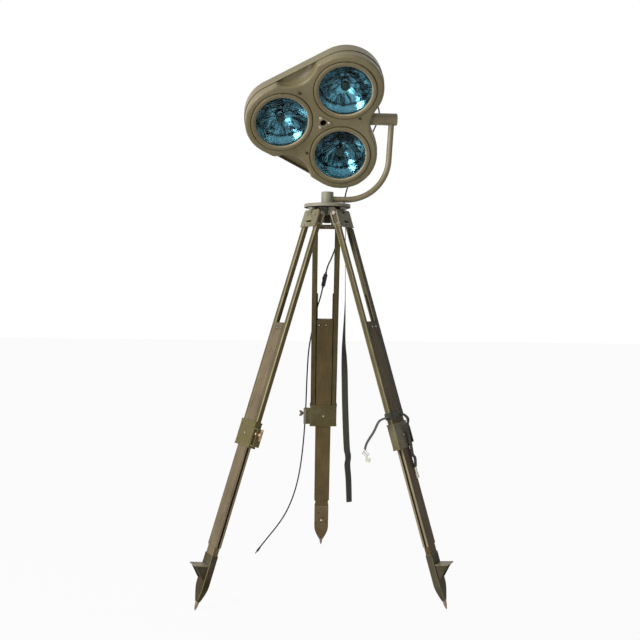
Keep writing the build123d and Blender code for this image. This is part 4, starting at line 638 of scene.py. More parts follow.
# A lighter copy of the collar enamel: a painted highlight on the bevels of collars and clamp plates.
collar_edge_highlight = painted("collar_edge_highlight", (146, 134, 94), (76, 64, 36), 0.35, 0.2, 0.35, 80.0, 0.3)
shoe_paint = painted("shoe_enamel", (56, 47, 20), (88, 70, 38), 0.6, 0.16, 0.30, 80.0, 0.5, 0.12)
brown_shoe_paint = painted("brown_shoe_enamel", (114, 92, 60), (72, 54, 34), 0.6, 0.16, 0.42, 110.0, 0.6)
# A lighter copy of the shoe enamel: a painted highlight on the bevels of shoes and steps.
shoe_edge_highlight = painted("shoe_edge_highlight", (128, 112, 78), (64, 54, 30), 0.45, 0.25, 0.42, 60.0, 0.4)
# A lighter copy of the shoe enamel: a painted highlight on the step plates, whose tops face the light.
step_highlight = painted("step_enamel_highlight", (120, 110, 86), (74, 62, 40), 0.45, 0.3, 0.40, 45.0, 0.4)
# Painted shade: a near-black brown for the disc's underside, the braces under the steps and the collars'
# last slot.
painted_shade = painted("painted_shade", (40, 33, 20), (58, 48, 30), 0.8, 0.05, 0.2, 90.0, 0.3)
worn_steel = painted("worn_steel", (120, 112, 98), (176, 152, 124), 0.42, 0.2, 0.4, 90.0, 0.4, metallic=0.6)
spike_steel = painted("spike_steel", (140, 118, 102), (98, 78, 60), 0.42, 0.2, 0.4, 90.0, 0.4, metallic=0.5)
brown_steel = painted("brown_steel", (74, 60, 44), (120, 96, 70), 0.5, 0.15, 0.3, 90.0, 0.4)
bright_screw = painted(
    "plated_screw", (196, 190, 172), (150, 130, 100), 0.3, 0.1, 0.2, 300.0, 0.2, metallic=0.8
)
dark_screw = painted("blackened_screw", (44, 36, 26), (78, 64, 46), 0.5, 0.1, 0.2, 300.0, 0.2)
worn_brass = painted("worn_brass", (176, 146, 116), (120, 96, 66), 0.35, 0.1, 0.3, 200.0, 0.3, metallic=0.7)
dark_rubber = painted("dark_rubber", (34, 33, 30), (60, 56, 48), 0.65, 0.06, 0.15, 200.0, 0.3)
olive_gasket = painted("olive_gasket", (90, 81, 54), (96, 88, 62), 0.7, 0.06, 0.15, 200.0, 0.3)
switch_plastic = painted("switch_plastic", (36, 34, 30), (70, 64, 54), 0.4, 0.05, 0.15, 150.0, 0.3)

# %% [markdown]
# ### Wood of each leg
# One wood finish per leg, because the grain must run along that leg's own slant. A Mapping node turns
# the pattern by the leg's azimuth and spread.

# %% Woods
HINGE_RADIUS = 0.0566
HINGE_HEIGHT = 1.480
LEG_PLACES = {"rear": (-1.2, 0.538), "right": (118.8, 0.521), "left": (-121.2, 0.5556)}


def leg_axes(leg):
    """A leg's pin, and its directions along the pin, outward from its face and up its length."""
    azimuth, foot_radius = radians(LEG_PLACES[leg][0]), LEG_PLACES[leg][1]
    outward = Vector((sin(azimuth), cos(azimuth), 0))
    along_pin = Vector((cos(azimuth), -sin(azimuth), 0))
    spread = atan2(foot_radius - HINGE_RADIUS, HINGE_HEIGHT)
    up = Vector((0, 0, cos(spread))) - outward * sin(spread)
    return outward * HINGE_RADIUS + Vector((0, 0, HINGE_HEIGHT)), along_pin, up.cross(along_pin), up


def leg_matrix(leg):
    pin, across, outward, up = leg_axes(leg)
    return Matrix.Translation(pin) @ Matrix((across, outward, up)).transposed().to_4x4()


def painted_wood(leg, name, paint, wood, wear):
    material, tree, shader = new_material(f"{name}_{leg}")
    mapping = tree.nodes.new("ShaderNodeMapping")
    mapping.inputs["Rotation"].default_value = leg_matrix(leg).to_3x3().inverted().to_euler()
    feed_all(tree, mapping, Vector=tree.nodes.new("ShaderNodeTexCoord").outputs["Object"])
    along_leg = mapping.outputs["Vector"]
    look = place_group(
        tree, wood_group, Paint=linear(*paint), Wood=linear(*wood), Wear=wear, Vector=along_leg
    )
    feed_all(tree, shader, Base_Color=look["Color"], Roughness=look["Roughness"], Specular_IOR_Level=0.15)
    relief(tree, shader, look["Height"], 0.35, 0.0006)
    return material


bar_wood = {leg: painted_wood(leg, "bar_wood", (96, 86, 56), (134, 118, 82), 0.14) for leg in LEGS}
# The bars' chamfers: a painted highlight on the side legs and painted shade on the rear leg.
EDGE_HIGHLIGHT_AND_SHADE = {"rear": (74, 66, 40), "right": (158, 148, 116), "left": (158, 148, 116)}
# The boards' paint, darker on the right leg as painted shade.
BOARD_PAINT_AND_SHADE = {"rear": (108, 92, 60), "right": (88, 72, 44), "left": (112, 98, 76)}
# The boards' narrow sides: a painted highlight on the side legs and painted shade on the rear leg.
SIDE_HIGHLIGHT_AND_SHADE = {"rear": (50, 38, 20), "right": (150, 138, 110), "left": (150, 138, 110)}
bar_edge_light_and_shade = {leg: painted_wood(leg, "bar_edge_light_and_shade", EDGE_HIGHLIGHT_AND_SHADE[leg], (92, 80, 50), 0.16) for leg in LEGS}
board_wood = {leg: painted_wood(leg, "board_wood", BOARD_PAINT_AND_SHADE[leg], (134, 116, 82), 0.14) for leg in LEGS}
# A near-black copy of the board paint: painted shade on the boards' edges, in their grooves and on the
# tongues in the gaps.
board_edge_shade = {leg: painted_wood(leg, "board_edge_shade", (50, 38, 20), (88, 72, 44), 0.10) for leg in LEGS}
board_side_light_and_shade = {leg: painted_wood(leg, "board_side_light_and_shade", SIDE_HIGHLIGHT_AND_SHADE[leg], (104, 90, 62), 0.20) for leg in LEGS}

# %% [markdown]
# ### Glass and bowls
# The filter glasses are a clear blue-green. Behind each one is a polished bowl, so most of what is seen is
# the bowl's reflections, coloured twice by the glass. Those reflections are painted into the bowls' colour:
# dark streaks from the rim to the bulb, dark images of the bulb shields, bright glints and a pale crescent
# at the bottom.

# %% Glass and bowls
def glass(name, tint, haze_scale, haze_detail, haze):
    """Clear glass with a slight haze, given as its least and greatest roughness."""
    material, tree, shader = new_material(name)
    clouds = noise(tree, tree.nodes.new("ShaderNodeTexCoord").outputs["Object"], haze_scale, haze_detail)
    roughness = remap(tree, clouds, 0.4, 0.7, *haze)
    feed_all(tree, shader, Base_Color=tint, Roughness=roughness, Transmission_Weight=1.0)
    return material


filter_glass = glass("filter_glass", linear(166, 210, 224), 25.0, 4.0, (0.0, 0.006))
filter_glass.node_tree.nodes["Principled BSDF"].inputs["IOR"].default_value = 1.18
bulb_glass = glass("bulb_glass", (0.9, 0.92, 0.9), 120.0, 3.0, (0.03, 0.12))

# %% [markdown]
# A bowl's painted reflections read a map of its own, with u and v from -1 to 1 across the lamp's opening.
# The painted streaks are noise that runs round the bowl fast and along its radius slowly.

# %% Bowl group
bowl_group, given, result = new_group(
    "bowl_painted_reflections",
    [
        ("Dark Reflection", "NodeSocketVector", (0.0, 0.6, 0.0)),
        ("Second Dark Reflection", "NodeSocketVector", (0.0, 0.0, 0.0)),
        ("Glint", "NodeSocketVector", (0.0, -0.3, 0.0)),
        ("Second Glint", "NodeSocketVector", (0.3, -0.2, 0.0)),
        ("Seed", "NodeSocketFloat", 0.0),
    ],
    [("Silver", "NodeSocketFloat")],
)
chart_map = bowl_group.nodes.new("ShaderNodeUVMap")
chart_map.uv_map = "bowl_chart"
on_chart = chart_map.outputs["UV"]
split = bowl_group.nodes.new("ShaderNodeSeparateXYZ")
feed_all(bowl_group, split, Vector=on_chart)
bearing = combine(bowl_group, "ARCTAN2", split.outputs["Y"], split.outputs["X"])


def distance_from(target, width, height):
    """How far a point of the chart is from a painted dark reflection or glint, in units of its half width
    and height.
    """
    offset = combine_vectors(bowl_group, "SUBTRACT", on_chart, target)
    scaled = combine_vectors(bowl_group, "MULTIPLY", offset, (1 / width, 1 / height, 0))
    return combine_vectors(bowl_group, "LENGTH", scaled, result="Value")


from_middle = distance_from((0.0, 0.0, 0.0), 1.0, 1.0)
polar = bowl_group.nodes.new("ShaderNodeCombineXYZ")
feed_all(
    bowl_group,
    polar,
    X=combine(bowl_group, "MULTIPLY", bearing, 2.2),
    Y=combine(bowl_group, "MULTIPLY", from_middle, 1.6),
    Z=given["Seed"],
)
# Painted reflections: dark streaks of mirrored room, bright glints, a pale crescent and dark images of the
# bulb shields.
streaks = noise(bowl_group, polar.outputs["Vector"], 1.6, 5.0, 0.62, 0.9)
fine = noise(bowl_group, polar.outputs["Vector"], 5.5, 4.0, 0.7, 1.4)
streaked = remap(bowl_group, streaks, 0.40, 0.60, 0.03, 0.55)
painted_reflection = combine(bowl_group, "MULTIPLY", streaked, remap(bowl_group, fine, 0.3, 0.65, 0.45, 1.5))
for name, width, height in (("Glint", 0.30, 0.15), ("Second Glint", 0.11, 0.20)):
    near = remap(bowl_group, distance_from(given[name], width, height), 0.3, 1.1, 0.85, 0.0)
    glint = combine(bowl_group, "MULTIPLY", near, remap(bowl_group, fine, 0.35, 0.5, 0.25, 1.0))
    painted_reflection = combine(bowl_group, "ADD", painted_reflection, glint)
lower_arc = distance_from((0.0, 0.20, 0.0), 0.98, 0.98)
below = remap(bowl_group, split.outputs["Y"], -0.42, -0.30, 1.0, 0.0)
crescent = combine(bowl_group, "MULTIPLY", remap(bowl_group, lower_arc, 1.03, 1.06), below)
crescent_reflection = combine(bowl_group, "MULTIPLY", crescent, remap(bowl_group, fine, 0.3, 0.6, 0.35, 0.75))
painted_reflection = combine(bowl_group, "MAXIMUM", painted_reflection, crescent_reflection)
from_arc = combine(bowl_group, "ABSOLUTE", combine(bowl_group, "SUBTRACT", lower_arc, 0.99))
painted_reflection = combine(bowl_group, "MULTIPLY", painted_reflection, remap(bowl_group, from_arc, 0.0, 0.05, 0.12, 1.0))
for name, width, height in (("Dark Reflection", 0.23, 0.20), ("Second Dark Reflection", 0.13, 0.12)):
    away = remap(bowl_group, distance_from(given[name], width, height), 0.75, 1.05, 0.02, 1.0)
    painted_reflection = combine(bowl_group, "MULTIPLY", painted_reflection, away)
feed_all(bowl_group, result, Silver=painted_reflection)

BOWL_SPOTS = {
    1: ((-0.16, 0.58, 0), (0.0, -0.05, 0), (0.10, -0.22, 0), (-0.40, 0.10, 0)),
    2: ((0.10, 0.66, 0), (0.02, 0.10, 0), (-0.02, -0.30, 0), (0.62, 0.42, 0)),
    3: ((0.0, 0.46, 0), (-0.25, 0.30, 0), (0.12, 0.02, 0), (0.66, 0.36, 0)),
}
DARK_BOWL = (0.012, 0.022, 0.022)
BRIGHT_BOWL = (0.92, 0.97, 0.95)
bowl_mirrors = []
# Each bowl's base colour carries its own painted reflections, placed one by one.
for number, (dark_reflection, second_dark_reflection, glint, second_glint) in BOWL_SPOTS.items():
    bowl_mirror, tree, shader = new_material(f"bowl_mirror_{number}", 0.14, 1.0)
    spots = {"Dark Reflection": dark_reflection, "Second Dark Reflection": second_dark_reflection, "Glint": glint, "Second Glint": second_glint}
    painted_reflection = place_group(tree, bowl_group, Seed=3.7 * number, **spots)["Silver"]
    feed_all(tree, shader, Base_Color=blend_colour(tree, painted_reflection, DARK_BOWL, BRIGHT_BOWL))
    relief(tree, shader, painted_reflection, 0.06, 0.002)
    bowl_mirrors.append(bowl_mirror)

# %% [markdown]
# ### Which finish goes on which piece
# Most pieces have one finish. A piece with bevelled edges has a second one for them: lighter on metal as a
# painted highlight, and darker on the boards as painted shade at their edges and in the gaps.

# %% Give the finishes
FINISHES = {
    "head_disc": (disc_paint, casting_edge_highlight, painted_shade), "hinge_bolts": worn_steel, "spindle": worn_steel,
    "thrust_washer": worn_brass, "clamp_knob": brown_steel, "yoke_hub": disc_paint, "arm_tube": tube_paint,
    "arm_sleeve": tube_paint, "sleeve_cap": worn_steel, "friction_springs": worn_steel,
    "rear_shell": shell_paint, "front_cover": shell_paint, "cover_gasket": olive_gasket,
    "glass_gaskets": dark_rubber, "reflectors": tuple(bowl_mirrors), "bulbs": bulb_glass,
    "bulb_shields": brown_steel, "lampholders": switch_plastic, "socket_flange": tube_paint,
    "handle_socket": switch_plastic, "face_screws": (bright_screw, dark_screw), "tilt_boss": tube_paint,
    "tilt_shaft": worn_steel, "tilt_nut": bright_screw, "cable_gland": dark_rubber,
    "terminal_block": switch_plastic, "inline_switch": switch_plastic, "switch_slider": switch_plastic,
    "lead_plug": dark_rubber, "strap_buckles": bright_screw,
}
for number in (1, 2, 3):
    FINISHES[f"retaining_ring_{number}"] = (shell_paint, lip_highlight)
    FINISHES[f"filter_glass_{number}"] = filter_glass
for leg in LEGS:
    FINISHES[f"hinge_casting_{leg}"] = (casting_paint, casting_edge_highlight, casting_hollow_shade)
    FINISHES[f"leg_bars_{leg}"] = (bar_wood[leg], bar_edge_light_and_shade[leg])
    FINISHES[f"collar_{leg}"] = (collar_paint, collar_edge_highlight, bright_screw, painted_shade)
    FINISHES[f"wing_screw_{leg}"] = brown_steel if leg == "rear" else worn_brass
    FINISHES[f"leg_board_{leg}"] = (board_wood[leg], board_edge_shade[leg], board_side_light_and_shade[leg])
for node, piece in dressed.items():
    finishes = FINISHES[node] if isinstance(FINISHES[node], tuple) else (FINISHES[node],)
    for index, finish in enumerate(finishes):
        if index < len(piece.data.materials):
            piece.data.materials[index] = finish
        else:
            piece.data.materials.append(finish)
for piece in LEADS:
    piece.data.materials.clear()
    piece.data.materials.append(dark_rubber)

# %% [markdown]
# ### Finishes by place
# Some faces of one piece have another finish: the chamfers of the bars, the cheeks and hollows of the
# castings, the rivets of the collars, the inner lips of the lamp rings, the sides and grooves of the
# boards, the disc's underside and the screws of the cover. The chamfers, board sides, cheeks and lips carry
# painted highlights, with painted shade on the rear leg's chamfers and sides, and the hollows, grooves and
# underside carry painted shade. They are chosen by where they lie and where they face, in the frame of
# their leg or of the lamp head.

# %% Finish by place
def second_finish(piece, index, chosen):
    """Gives a finish by number to the faces that the test picks."""
    picked = 0
    for face in piece.data.polygons:
        if chosen(face):
            face.material_index = index
            picked += 1
    print(piece.name, "finish", index, "on", picked, "faces")


# %% Finishes on the head
LIP_WIDTH = 0.0035
DISC_UNDERSIDE, DISC_BOSS, DOWNWARD = 1.5, 0.03, -0.35
FLANGE_REACH = 0.04
# The rings' inner lips take a painted highlight.
for number in LAMPS:
    second_finish(
        dressed[f"retaining_ring_{number}"],
        1,
        lambda face: nearest_lamp(face.center)[1].length < LAMP_OPENING + LIP_WIDTH,
    )


# The disc's downward faces take painted shade.
def under_disc(face):
    return face.normal.z < DOWNWARD and face.center.xy.length > DISC_BOSS and face.center.z > DISC_UNDERSIDE


second_finish(dressed["head_disc"], 2, under_disc)
second_finish(dressed["face_screws"], 1, lambda face: (to_head @ face.center).xy.length > FLANGE_REACH)
bowls = dressed["reflectors"]
bowl_chart = bowls.data.uv_layers.new(name="bowl_chart")
for face in bowls.data.polygons:
    number, _ = nearest_lamp(face.center)
    face.material_index = number - 1
    for loop in face.loop_indices:
        x, y, _ = to_head @ bowls.data.vertices[bowls.data.loops[loop].vertex_index].co
        bowl_chart.data[loop].uv = (Vector((x, y)) - LAMPS[number]) / LAMP_OPENING

# %% Finishes on the legs
SLANT = 0.5
FACED = 0.9
CHEEK_REACH, CHEEK_FACE, HOLLOW_REACH = 0.03, 0.010, 0.0515
COLLAR_FACE, COLLAR_MIDDLE, RIVET_REACH = 0.0156, -0.8875, 0.0045
BOARD_REACH, GROOVE_REACH, GROOVE_DEPTH = 0.030, 0.0285, 0.006
for leg in LEGS:
    to_leg = leg_matrix(leg).inverted()
    turn_to_leg = to_leg.to_3x3()

    def place_on(face):
        """The face's middle in the leg's frame, with its sides taken as one."""
        x, y, z = to_leg @ face.center
        return abs(x), y, z

    def facing(face):
        """How squarely the face looks along the pin and outward."""
        x, y, _ = turn_to_leg @ face.normal
        return abs(x), abs(y)

    def on_rivet(face):
        offset = to_leg @ face.center - Vector((0, 0, COLLAR_MIDDLE))
        return abs(offset.y) > COLLAR_FACE and offset.xz.length < RIVET_REACH

    def on_cheek(face):
        reach, depth, _ = place_on(face)
        return facing(face)[1] > FACED and reach > CHEEK_REACH and depth < CHEEK_FACE

    def in_groove(face):
        along_pin, outward = facing(face)
        reach, depth, _ = place_on(face)
        return along_pin > FACED and reach < GROOVE_REACH or outward > FACED and abs(depth) < GROOVE_DEPTH

    places = (
        # The chamfers of the bars take painted highlight or painted shade, as set for each leg.
        ("leg_bars", 1, lambda face: min(facing(face)) > SLANT),
        # The cheeks of the casting take a painted highlight.
        ("hinge_casting", 1, on_cheek),
        # The hollows of the casting take painted shade.
        ("hinge_casting", 2, lambda face: facing(face)[0] > FACED and place_on(face)[0] < HOLLOW_REACH),
        ("collar", 2, on_rivet),
        # The narrow sides of the board take painted highlight or painted shade, as set for each leg.
        ("leg_board", 2, lambda face: facing(face)[0] > FACED and place_on(face)[0] > BOARD_REACH),
        # The board's edges and grooves take painted shade.
        ("leg_board", 1, in_groove),
    )
    for piece_name, index, chosen in places:
        second_finish(dressed[f"{piece_name}_{leg}"], index, chosen)

# %% [markdown]
# ## Shoes
# A shoe is a steel socket round the board's end. Its body stays full almost to the ground, rounds in, and
# ends in a short forged spike. A cube is stretched to the socket, its lower face is extruded and shrunk
# ring by ring, and its upper face is inset and pushed down to leave the socket's wall.

# %% Tools for new pieces
def box(name, size, middle):
    """A box whose size and place are in its mesh."""
    bpy.ops.mesh.primitive_cube_add(size=1, location=middle, scale=size)
    piece = bpy.context.object
    piece.name = name
    bpy.ops.object.transform_apply(location=True, rotation=True, scale=True)
    return piece


def plate(name, outline, middle, thickness):
    """A flat plate across x, from an outline of (y, z) points."""
    bpy.ops.mesh.primitive_circle_add(vertices=len(outline), radius=1, fill_type="NGON")
    piece = bpy.context.object
    piece.name = name
    for vertex, (y, z) in zip(piece.data.vertices, outline):
        vertex.co = (middle - thickness / 2, y, z)
    bpy.ops.object.mode_set(mode="EDIT")
    bpy.ops.mesh.select_all(action="SELECT")
    bpy.ops.mesh.extrude_region_move(TRANSFORM_OT_translate={"value": (thickness, 0, 0)})
    bpy.ops.mesh.select_all(action="SELECT")
    bpy.ops.mesh.normals_make_consistent(inside=False)
    bpy.ops.object.mode_set(mode="OBJECT")
    return piece


def rivet(name, middle, radius, height, facing):
    """A round rivet head: a ball pressed flat along the way it faces."""
    bpy.ops.mesh.primitive_uv_sphere_add(segments=16, ring_count=10, radius=1)
    piece = bpy.context.object
    piece.name = name
    upright = Matrix.Diagonal((radius, radius, height, 1.0))
    lean = Vector(facing).to_track_quat("Z", "Y").to_matrix().to_4x4()
    piece.data.transform(Matrix.Translation(middle) @ lean @ upright)
    bpy.ops.object.shade_smooth()
    return piece


def join_all(name, pieces):
    """Joins pieces into one, keeping each one's finish."""
    bpy.ops.object.select_all(action="DESELECT")
    for piece in pieces:
        piece.select_set(True)
    bpy.context.view_layer.objects.active = pieces[0]
    bpy.ops.object.join()
    pieces[0].name = name
    return pieces[0]


def finish_with(piece, *finishes):
    piece.data.materials.clear()
    for finish in finishes:
        piece.data.materials.append(finish)
    return piece


def pick_face(piece, direction):
    """Opens edit mode with only the face selected that faces most in a direction."""
    choose(piece)
    bpy.ops.object.mode_set(mode="EDIT")
    bpy.ops.mesh.select_all(action="DESELECT")
    bpy.ops.mesh.select_mode(type="FACE")
    bpy.ops.object.mode_set(mode="OBJECT")
    toward = Vector(direction)

    def how_far(face):
        return round(face.normal.dot(toward), 4), face.center.dot(toward)

    max(piece.data.polygons, key=how_far).select = True
    bpy.ops.object.mode_set(mode="EDIT")


def taper(piece, start, size, rings):
    """Extrudes a piece's lower end through rings of (height, width, depth)."""
    pick_face(piece, (0, 0, -1))
    height, (width, depth) = start, size
    for new_height, new_width, new_depth in rings:
        bpy.ops.mesh.extrude_region_move(TRANSFORM_OT_translate={"value": (0, 0, new_height - height)})
        bpy.ops.transform.resize(
            value=(new_width / width, new_depth / depth, 1), center_override=(0, 0, new_height)
        )
        height, width, depth = new_height, new_width, new_depth
    bpy.ops.object.mode_set(mode="OBJECT")


def trimmed_box(name, size, middle, edge, *finishes):
    """A box with bevelled edges, which take its second finish where it has one."""
    piece = finish_with(box(name, size, middle), *finishes)
    round_edges(piece, edge, edge_tint=len(finishes) > 1)
    return piece


def attach(piece, body, slot, *replaced):
    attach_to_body(piece, body)
    if replaced:
        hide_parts(*replaced)


# %% Shoes
SHOE_WIDTH, SHOE_DEPTH = 0.063, 0.025
SHOE_TOP, SHOE_FULL = 0.212, 0.098
SHOE_WALL, SHOE_ROUND = 0.0025, 0.0024
SOCKET_DEPTH = 0.11
SHOE_RINGS = (
    (0.088, 0.060, 0.0245), (0.077, 0.0545, 0.0228), (0.066, 0.047, 0.0205), (0.056, 0.039, 0.018),
    (0.046, 0.030, 0.0158), (0.038, 0.0215, 0.0142), (0.033, 0.016, 0.0135),
)
SPIKE_ROOT, SPIKE_RADIUS, SPIKE_COLLAR = 0.036, 0.0076, 0.004
SPIKE_RINGS = ((0.018, 0.0062), (0.008, 0.0040), (0.002, 0.0018), (0.0, 0.0006))
STEP_TOP, STEP_DROP, STEP_REACH, STEP_WIDTH, STEP_PLATE = 0.172, 0.007, 0.065, 0.054, 0.0045
STEP_ROUND = 0.0012
STEP_WEB_FOOT, STEP_WEB, STEP_WEB_LEDGE, STEP_WEB_SHORTER = 0.118, 0.003, 0.006, 0.004
STEP_WEB_PLACES = (-0.022, 0.022)
BRACE_REACH, BRACE_TOP, BRACE_WIDTH = 0.0468, 0.155, 0.042
BRACE_SINK, BRACE_RISE, BRACE_PLATE = 0.001, 0.004, 0.003
RIVET_AT = 0.137


def outward_of(leg):
    azimuth = radians(LEG_PLACES[leg][0])
    return Vector((sin(azimuth), cos(azimuth), 0))


def foot_matrix(leg):
    return Matrix.Translation(outward_of(leg) * LEG_PLACES[leg][1]) @ leg_matrix(leg).to_3x3().to_4x4()


def shoe_body(leg):
    middle = (SHOE_TOP + SHOE_FULL) / 2
    body = box("socket", (SHOE_WIDTH, SHOE_DEPTH, SHOE_TOP - SHOE_FULL), (0, 0, middle))
    taper(body, SHOE_FULL, (SHOE_WIDTH, SHOE_DEPTH), SHOE_RINGS)
    pick_face(body, (0, 0, 1))
    bpy.ops.mesh.inset(thickness=SHOE_WALL)
    bpy.ops.mesh.extrude_region_move(TRANSFORM_OT_translate={"value": (0, 0, -SOCKET_DEPTH)})
    bpy.ops.object.mode_set(mode="OBJECT")
    # The shoe's bevels take a lighter enamel as a painted highlight.
    finish_with(body, brown_shoe_paint if leg == "rear" else shoe_paint, shoe_edge_highlight)
    round_edges(body, SHOE_ROUND, segments=3)
    return body


def shoe_spike():
    bpy.ops.mesh.primitive_cylinder_add(
        vertices=12, radius=SPIKE_RADIUS, depth=SPIKE_COLLAR, location=(0, 0, SPIKE_ROOT - SPIKE_COLLAR / 2)
    )
    bpy.ops.object.transform_apply(location=True)
    spike = finish_with(bpy.context.object, spike_steel)
    rings = [(height, radius, radius) for height, radius in SPIKE_RINGS]
    taper(spike, SPIKE_ROOT - SPIKE_COLLAR, (SPIKE_RADIUS, SPIKE_RADIUS), rings)
    return spike


def shoe_step():
    """The step plate with the two webs and the brace that carry it."""
    face, tip, under = SHOE_DEPTH / 2, STEP_TOP - STEP_DROP, STEP_TOP - STEP_PLATE
    tread = ((face, STEP_TOP), (STEP_REACH, tip), (STEP_REACH, tip - STEP_PLATE), (face, under))
    # The step plate takes a lighter enamel as a painted highlight.
    step = finish_with(plate("step", tread, 0, STEP_WIDTH), step_highlight, shoe_edge_highlight)
    round_edges(step, STEP_ROUND)
    web = (
        (face, under),
        (STEP_REACH - STEP_WEB_SHORTER, tip - STEP_PLATE / 2),
        (face + STEP_WEB_LEDGE, STEP_WEB_FOOT),
        (face, STEP_WEB_FOOT),
    )
    webs = [finish_with(plate("step_web", web, at, STEP_WEB), shoe_paint) for at in STEP_WEB_PLACES]
    # The brace under the step takes painted shade.
    brace = (
        (face - BRACE_SINK, STEP_WEB_FOOT + BRACE_RISE),
        (BRACE_REACH, BRACE_TOP),
        (BRACE_REACH, BRACE_TOP - BRACE_PLATE),
        (face - BRACE_SINK, STEP_WEB_FOOT),
    )
    return [step, *webs, finish_with(plate("step_brace", brace, 0, BRACE_WIDTH), painted_shade)]


def foot_shoe(leg):
    node = f"foot_shoe_{leg}"
    pieces = [shoe_body(leg), shoe_spike(), *shoe_step()]
    for side in (-1, 1):
        head = rivet("rivet", (0, side * SHOE_DEPTH / 2, RIVET_AT), 0.0050, 0.0022, (0, side, 0))
        pieces.append(finish_with(head, bright_screw))
    shoe = join_all(f"{node}_skin", pieces)
    choose(shoe)
    bpy.ops.object.shade_smooth_by_angle(angle=radians(40))
    even_normals(shoe)
    shoe.data.transform(foot_matrix(leg))
    attach(shoe, BODY_OF[node], SLOT_OF[node], node)
    return shoe


for leg in LEGS:
    print(foot_shoe(leg).name)

# %% [markdown]
# ## Clamp plates and bolts
# Each collar's stirrup is closed by a bent plate behind the clamp screw. Small round-headed bolts hold the
# boards' tops, and their light heads are among the few bright spots on the legs.

# %% Clamp plates and bolts
COLLAR_SIDE = -0.0576
BRACKET_FACE = -0.086
BRACKET_TOP, BRACKET_BOTTOM = -0.860, -0.928
PANEL_PLACE, PANEL_THICKNESS = (-0.0713, -0.0098), 0.0024
PANEL_SHORTER, PANEL_LOWER = 0.005, 0.006
FLANGE_PLACE, FLANGE_WIDTH, FLANGE_THICKNESS = (-0.0798, -0.0125), 0.012, 0.0016
BOARD_FACE = 0.01165
BOLT_HEIGHT = 1.090
BOLT_PLACES = (0.006, -0.024)
bracket_height = BRACKET_TOP - BRACKET_BOTTOM
bracket_middle = (BRACKET_TOP + BRACKET_BOTTOM) / 2
for leg in LEGS:
    # The bevels of the plate and the flange take lighter enamels as painted highlights.
    panel = trimmed_box(
        "clamp_plate",
        (COLLAR_SIDE - BRACKET_FACE - PANEL_SHORTER, PANEL_THICKNESS, bracket_height - PANEL_LOWER),
        (*PANEL_PLACE, bracket_middle),
        0.0008,
        collar_paint,
        collar_edge_highlight,
    )
    flange = trimmed_box(
        "clamp_flange",
        (FLANGE_WIDTH, FLANGE_THICKNESS, bracket_height),
        (*FLANGE_PLACE, bracket_middle),
        0.0005,
        disc_paint,
        casting_edge_highlight,
    )
    closing = join_all(f"clamp_plate_{leg}", [panel, flange])
    choose(closing)
    bpy.ops.object.shade_smooth_by_angle(angle=radians(40))
    closing.data.transform(leg_matrix(leg))
    attach(closing, f"upper_leg_{leg}", SLOT_OF[f"collar_{leg}"])

    heads = []
    for side in (-1, 1):
        for across in BOLT_PLACES:
            place = (across, side * BOARD_FACE, BOLT_HEIGHT)
            heads.append(finish_with(rivet("washer", place, 0.0075, 0.0004, (0, side, 0)), dark_screw))
            heads.append(finish_with(rivet("bolt", place, 0.0036, 0.0007, (0, side, 0)), bright_screw))
    bolts = join_all(f"board_bolts_{leg}", heads)
    bolts.data.transform(foot_matrix(leg))
    attach(bolts, BODY_OF[f"leg_board_{leg}"], "zinc_screw")

# %% [markdown]
# ## Tongues and wings
# A narrow tongue on the inner face of each bar runs in the board's groove and closes the gap between them;
# its near-black finish is painted shade in that gap.
# The rear leg's wing screw was left with its ears level, a quarter turn from the others; it turns freely,
# so its copy is turned about its own axis.

# %% Tongues and wings
TONGUE_REACH = (0.0300, 0.0342)
TONGUE_DEPTH = 0.0040
TONGUE_ENDS = (-0.936, -0.330)
SCREW_AT = -0.881
for leg in LEGS:
    strips = [
        trimmed_box(
            "tongue",
            (TONGUE_REACH[1] - TONGUE_REACH[0], TONGUE_DEPTH, TONGUE_ENDS[1] - TONGUE_ENDS[0]),
            (side * sum(TONGUE_REACH) / 2, 0, sum(TONGUE_ENDS) / 2),
            0.0006,
            board_edge_shade[leg],
        )
        for side in (-1, 1)
    ]
    tongues = join_all(f"bar_tongues_{leg}", strips)
    tongues.data.transform(leg_matrix(leg))
    attach(tongues, f"upper_leg_{leg}", "leg_wood")
screw_frame = leg_matrix("rear") @ Matrix.Translation((0, 0, SCREW_AT))
quarter_turn = screw_frame @ Matrix.Rotation(pi / 2, 4, "X") @ screw_frame.inverted()
dressed["wing_screw_rear"].data.transform(quarter_turn)

# %% [markdown]
# ## Webbing straps
# A strap is a long grid whose rows are set along its centre line: each row has a place and a direction
# across. Solidify gives it the thickness of webbing, and its edges are rounded.

# %% Strap maker
webbing, tree, shader = new_material("olive_webbing", 0.85)
weave = place_group(tree, weave_group, Yarn=linear(58, 57, 46))
feed_all(tree, shader, Base_Color=weave["Color"], Sheen_Weight=0.15)
relief(tree, shader, weave["Height"], 0.5, 0.0004)

STRAP_WIDTH = 0.025
STRAP_THICKNESS = 0.0018
STRAP_EDGE = 0.0005
STRAP_COLUMNS = 6


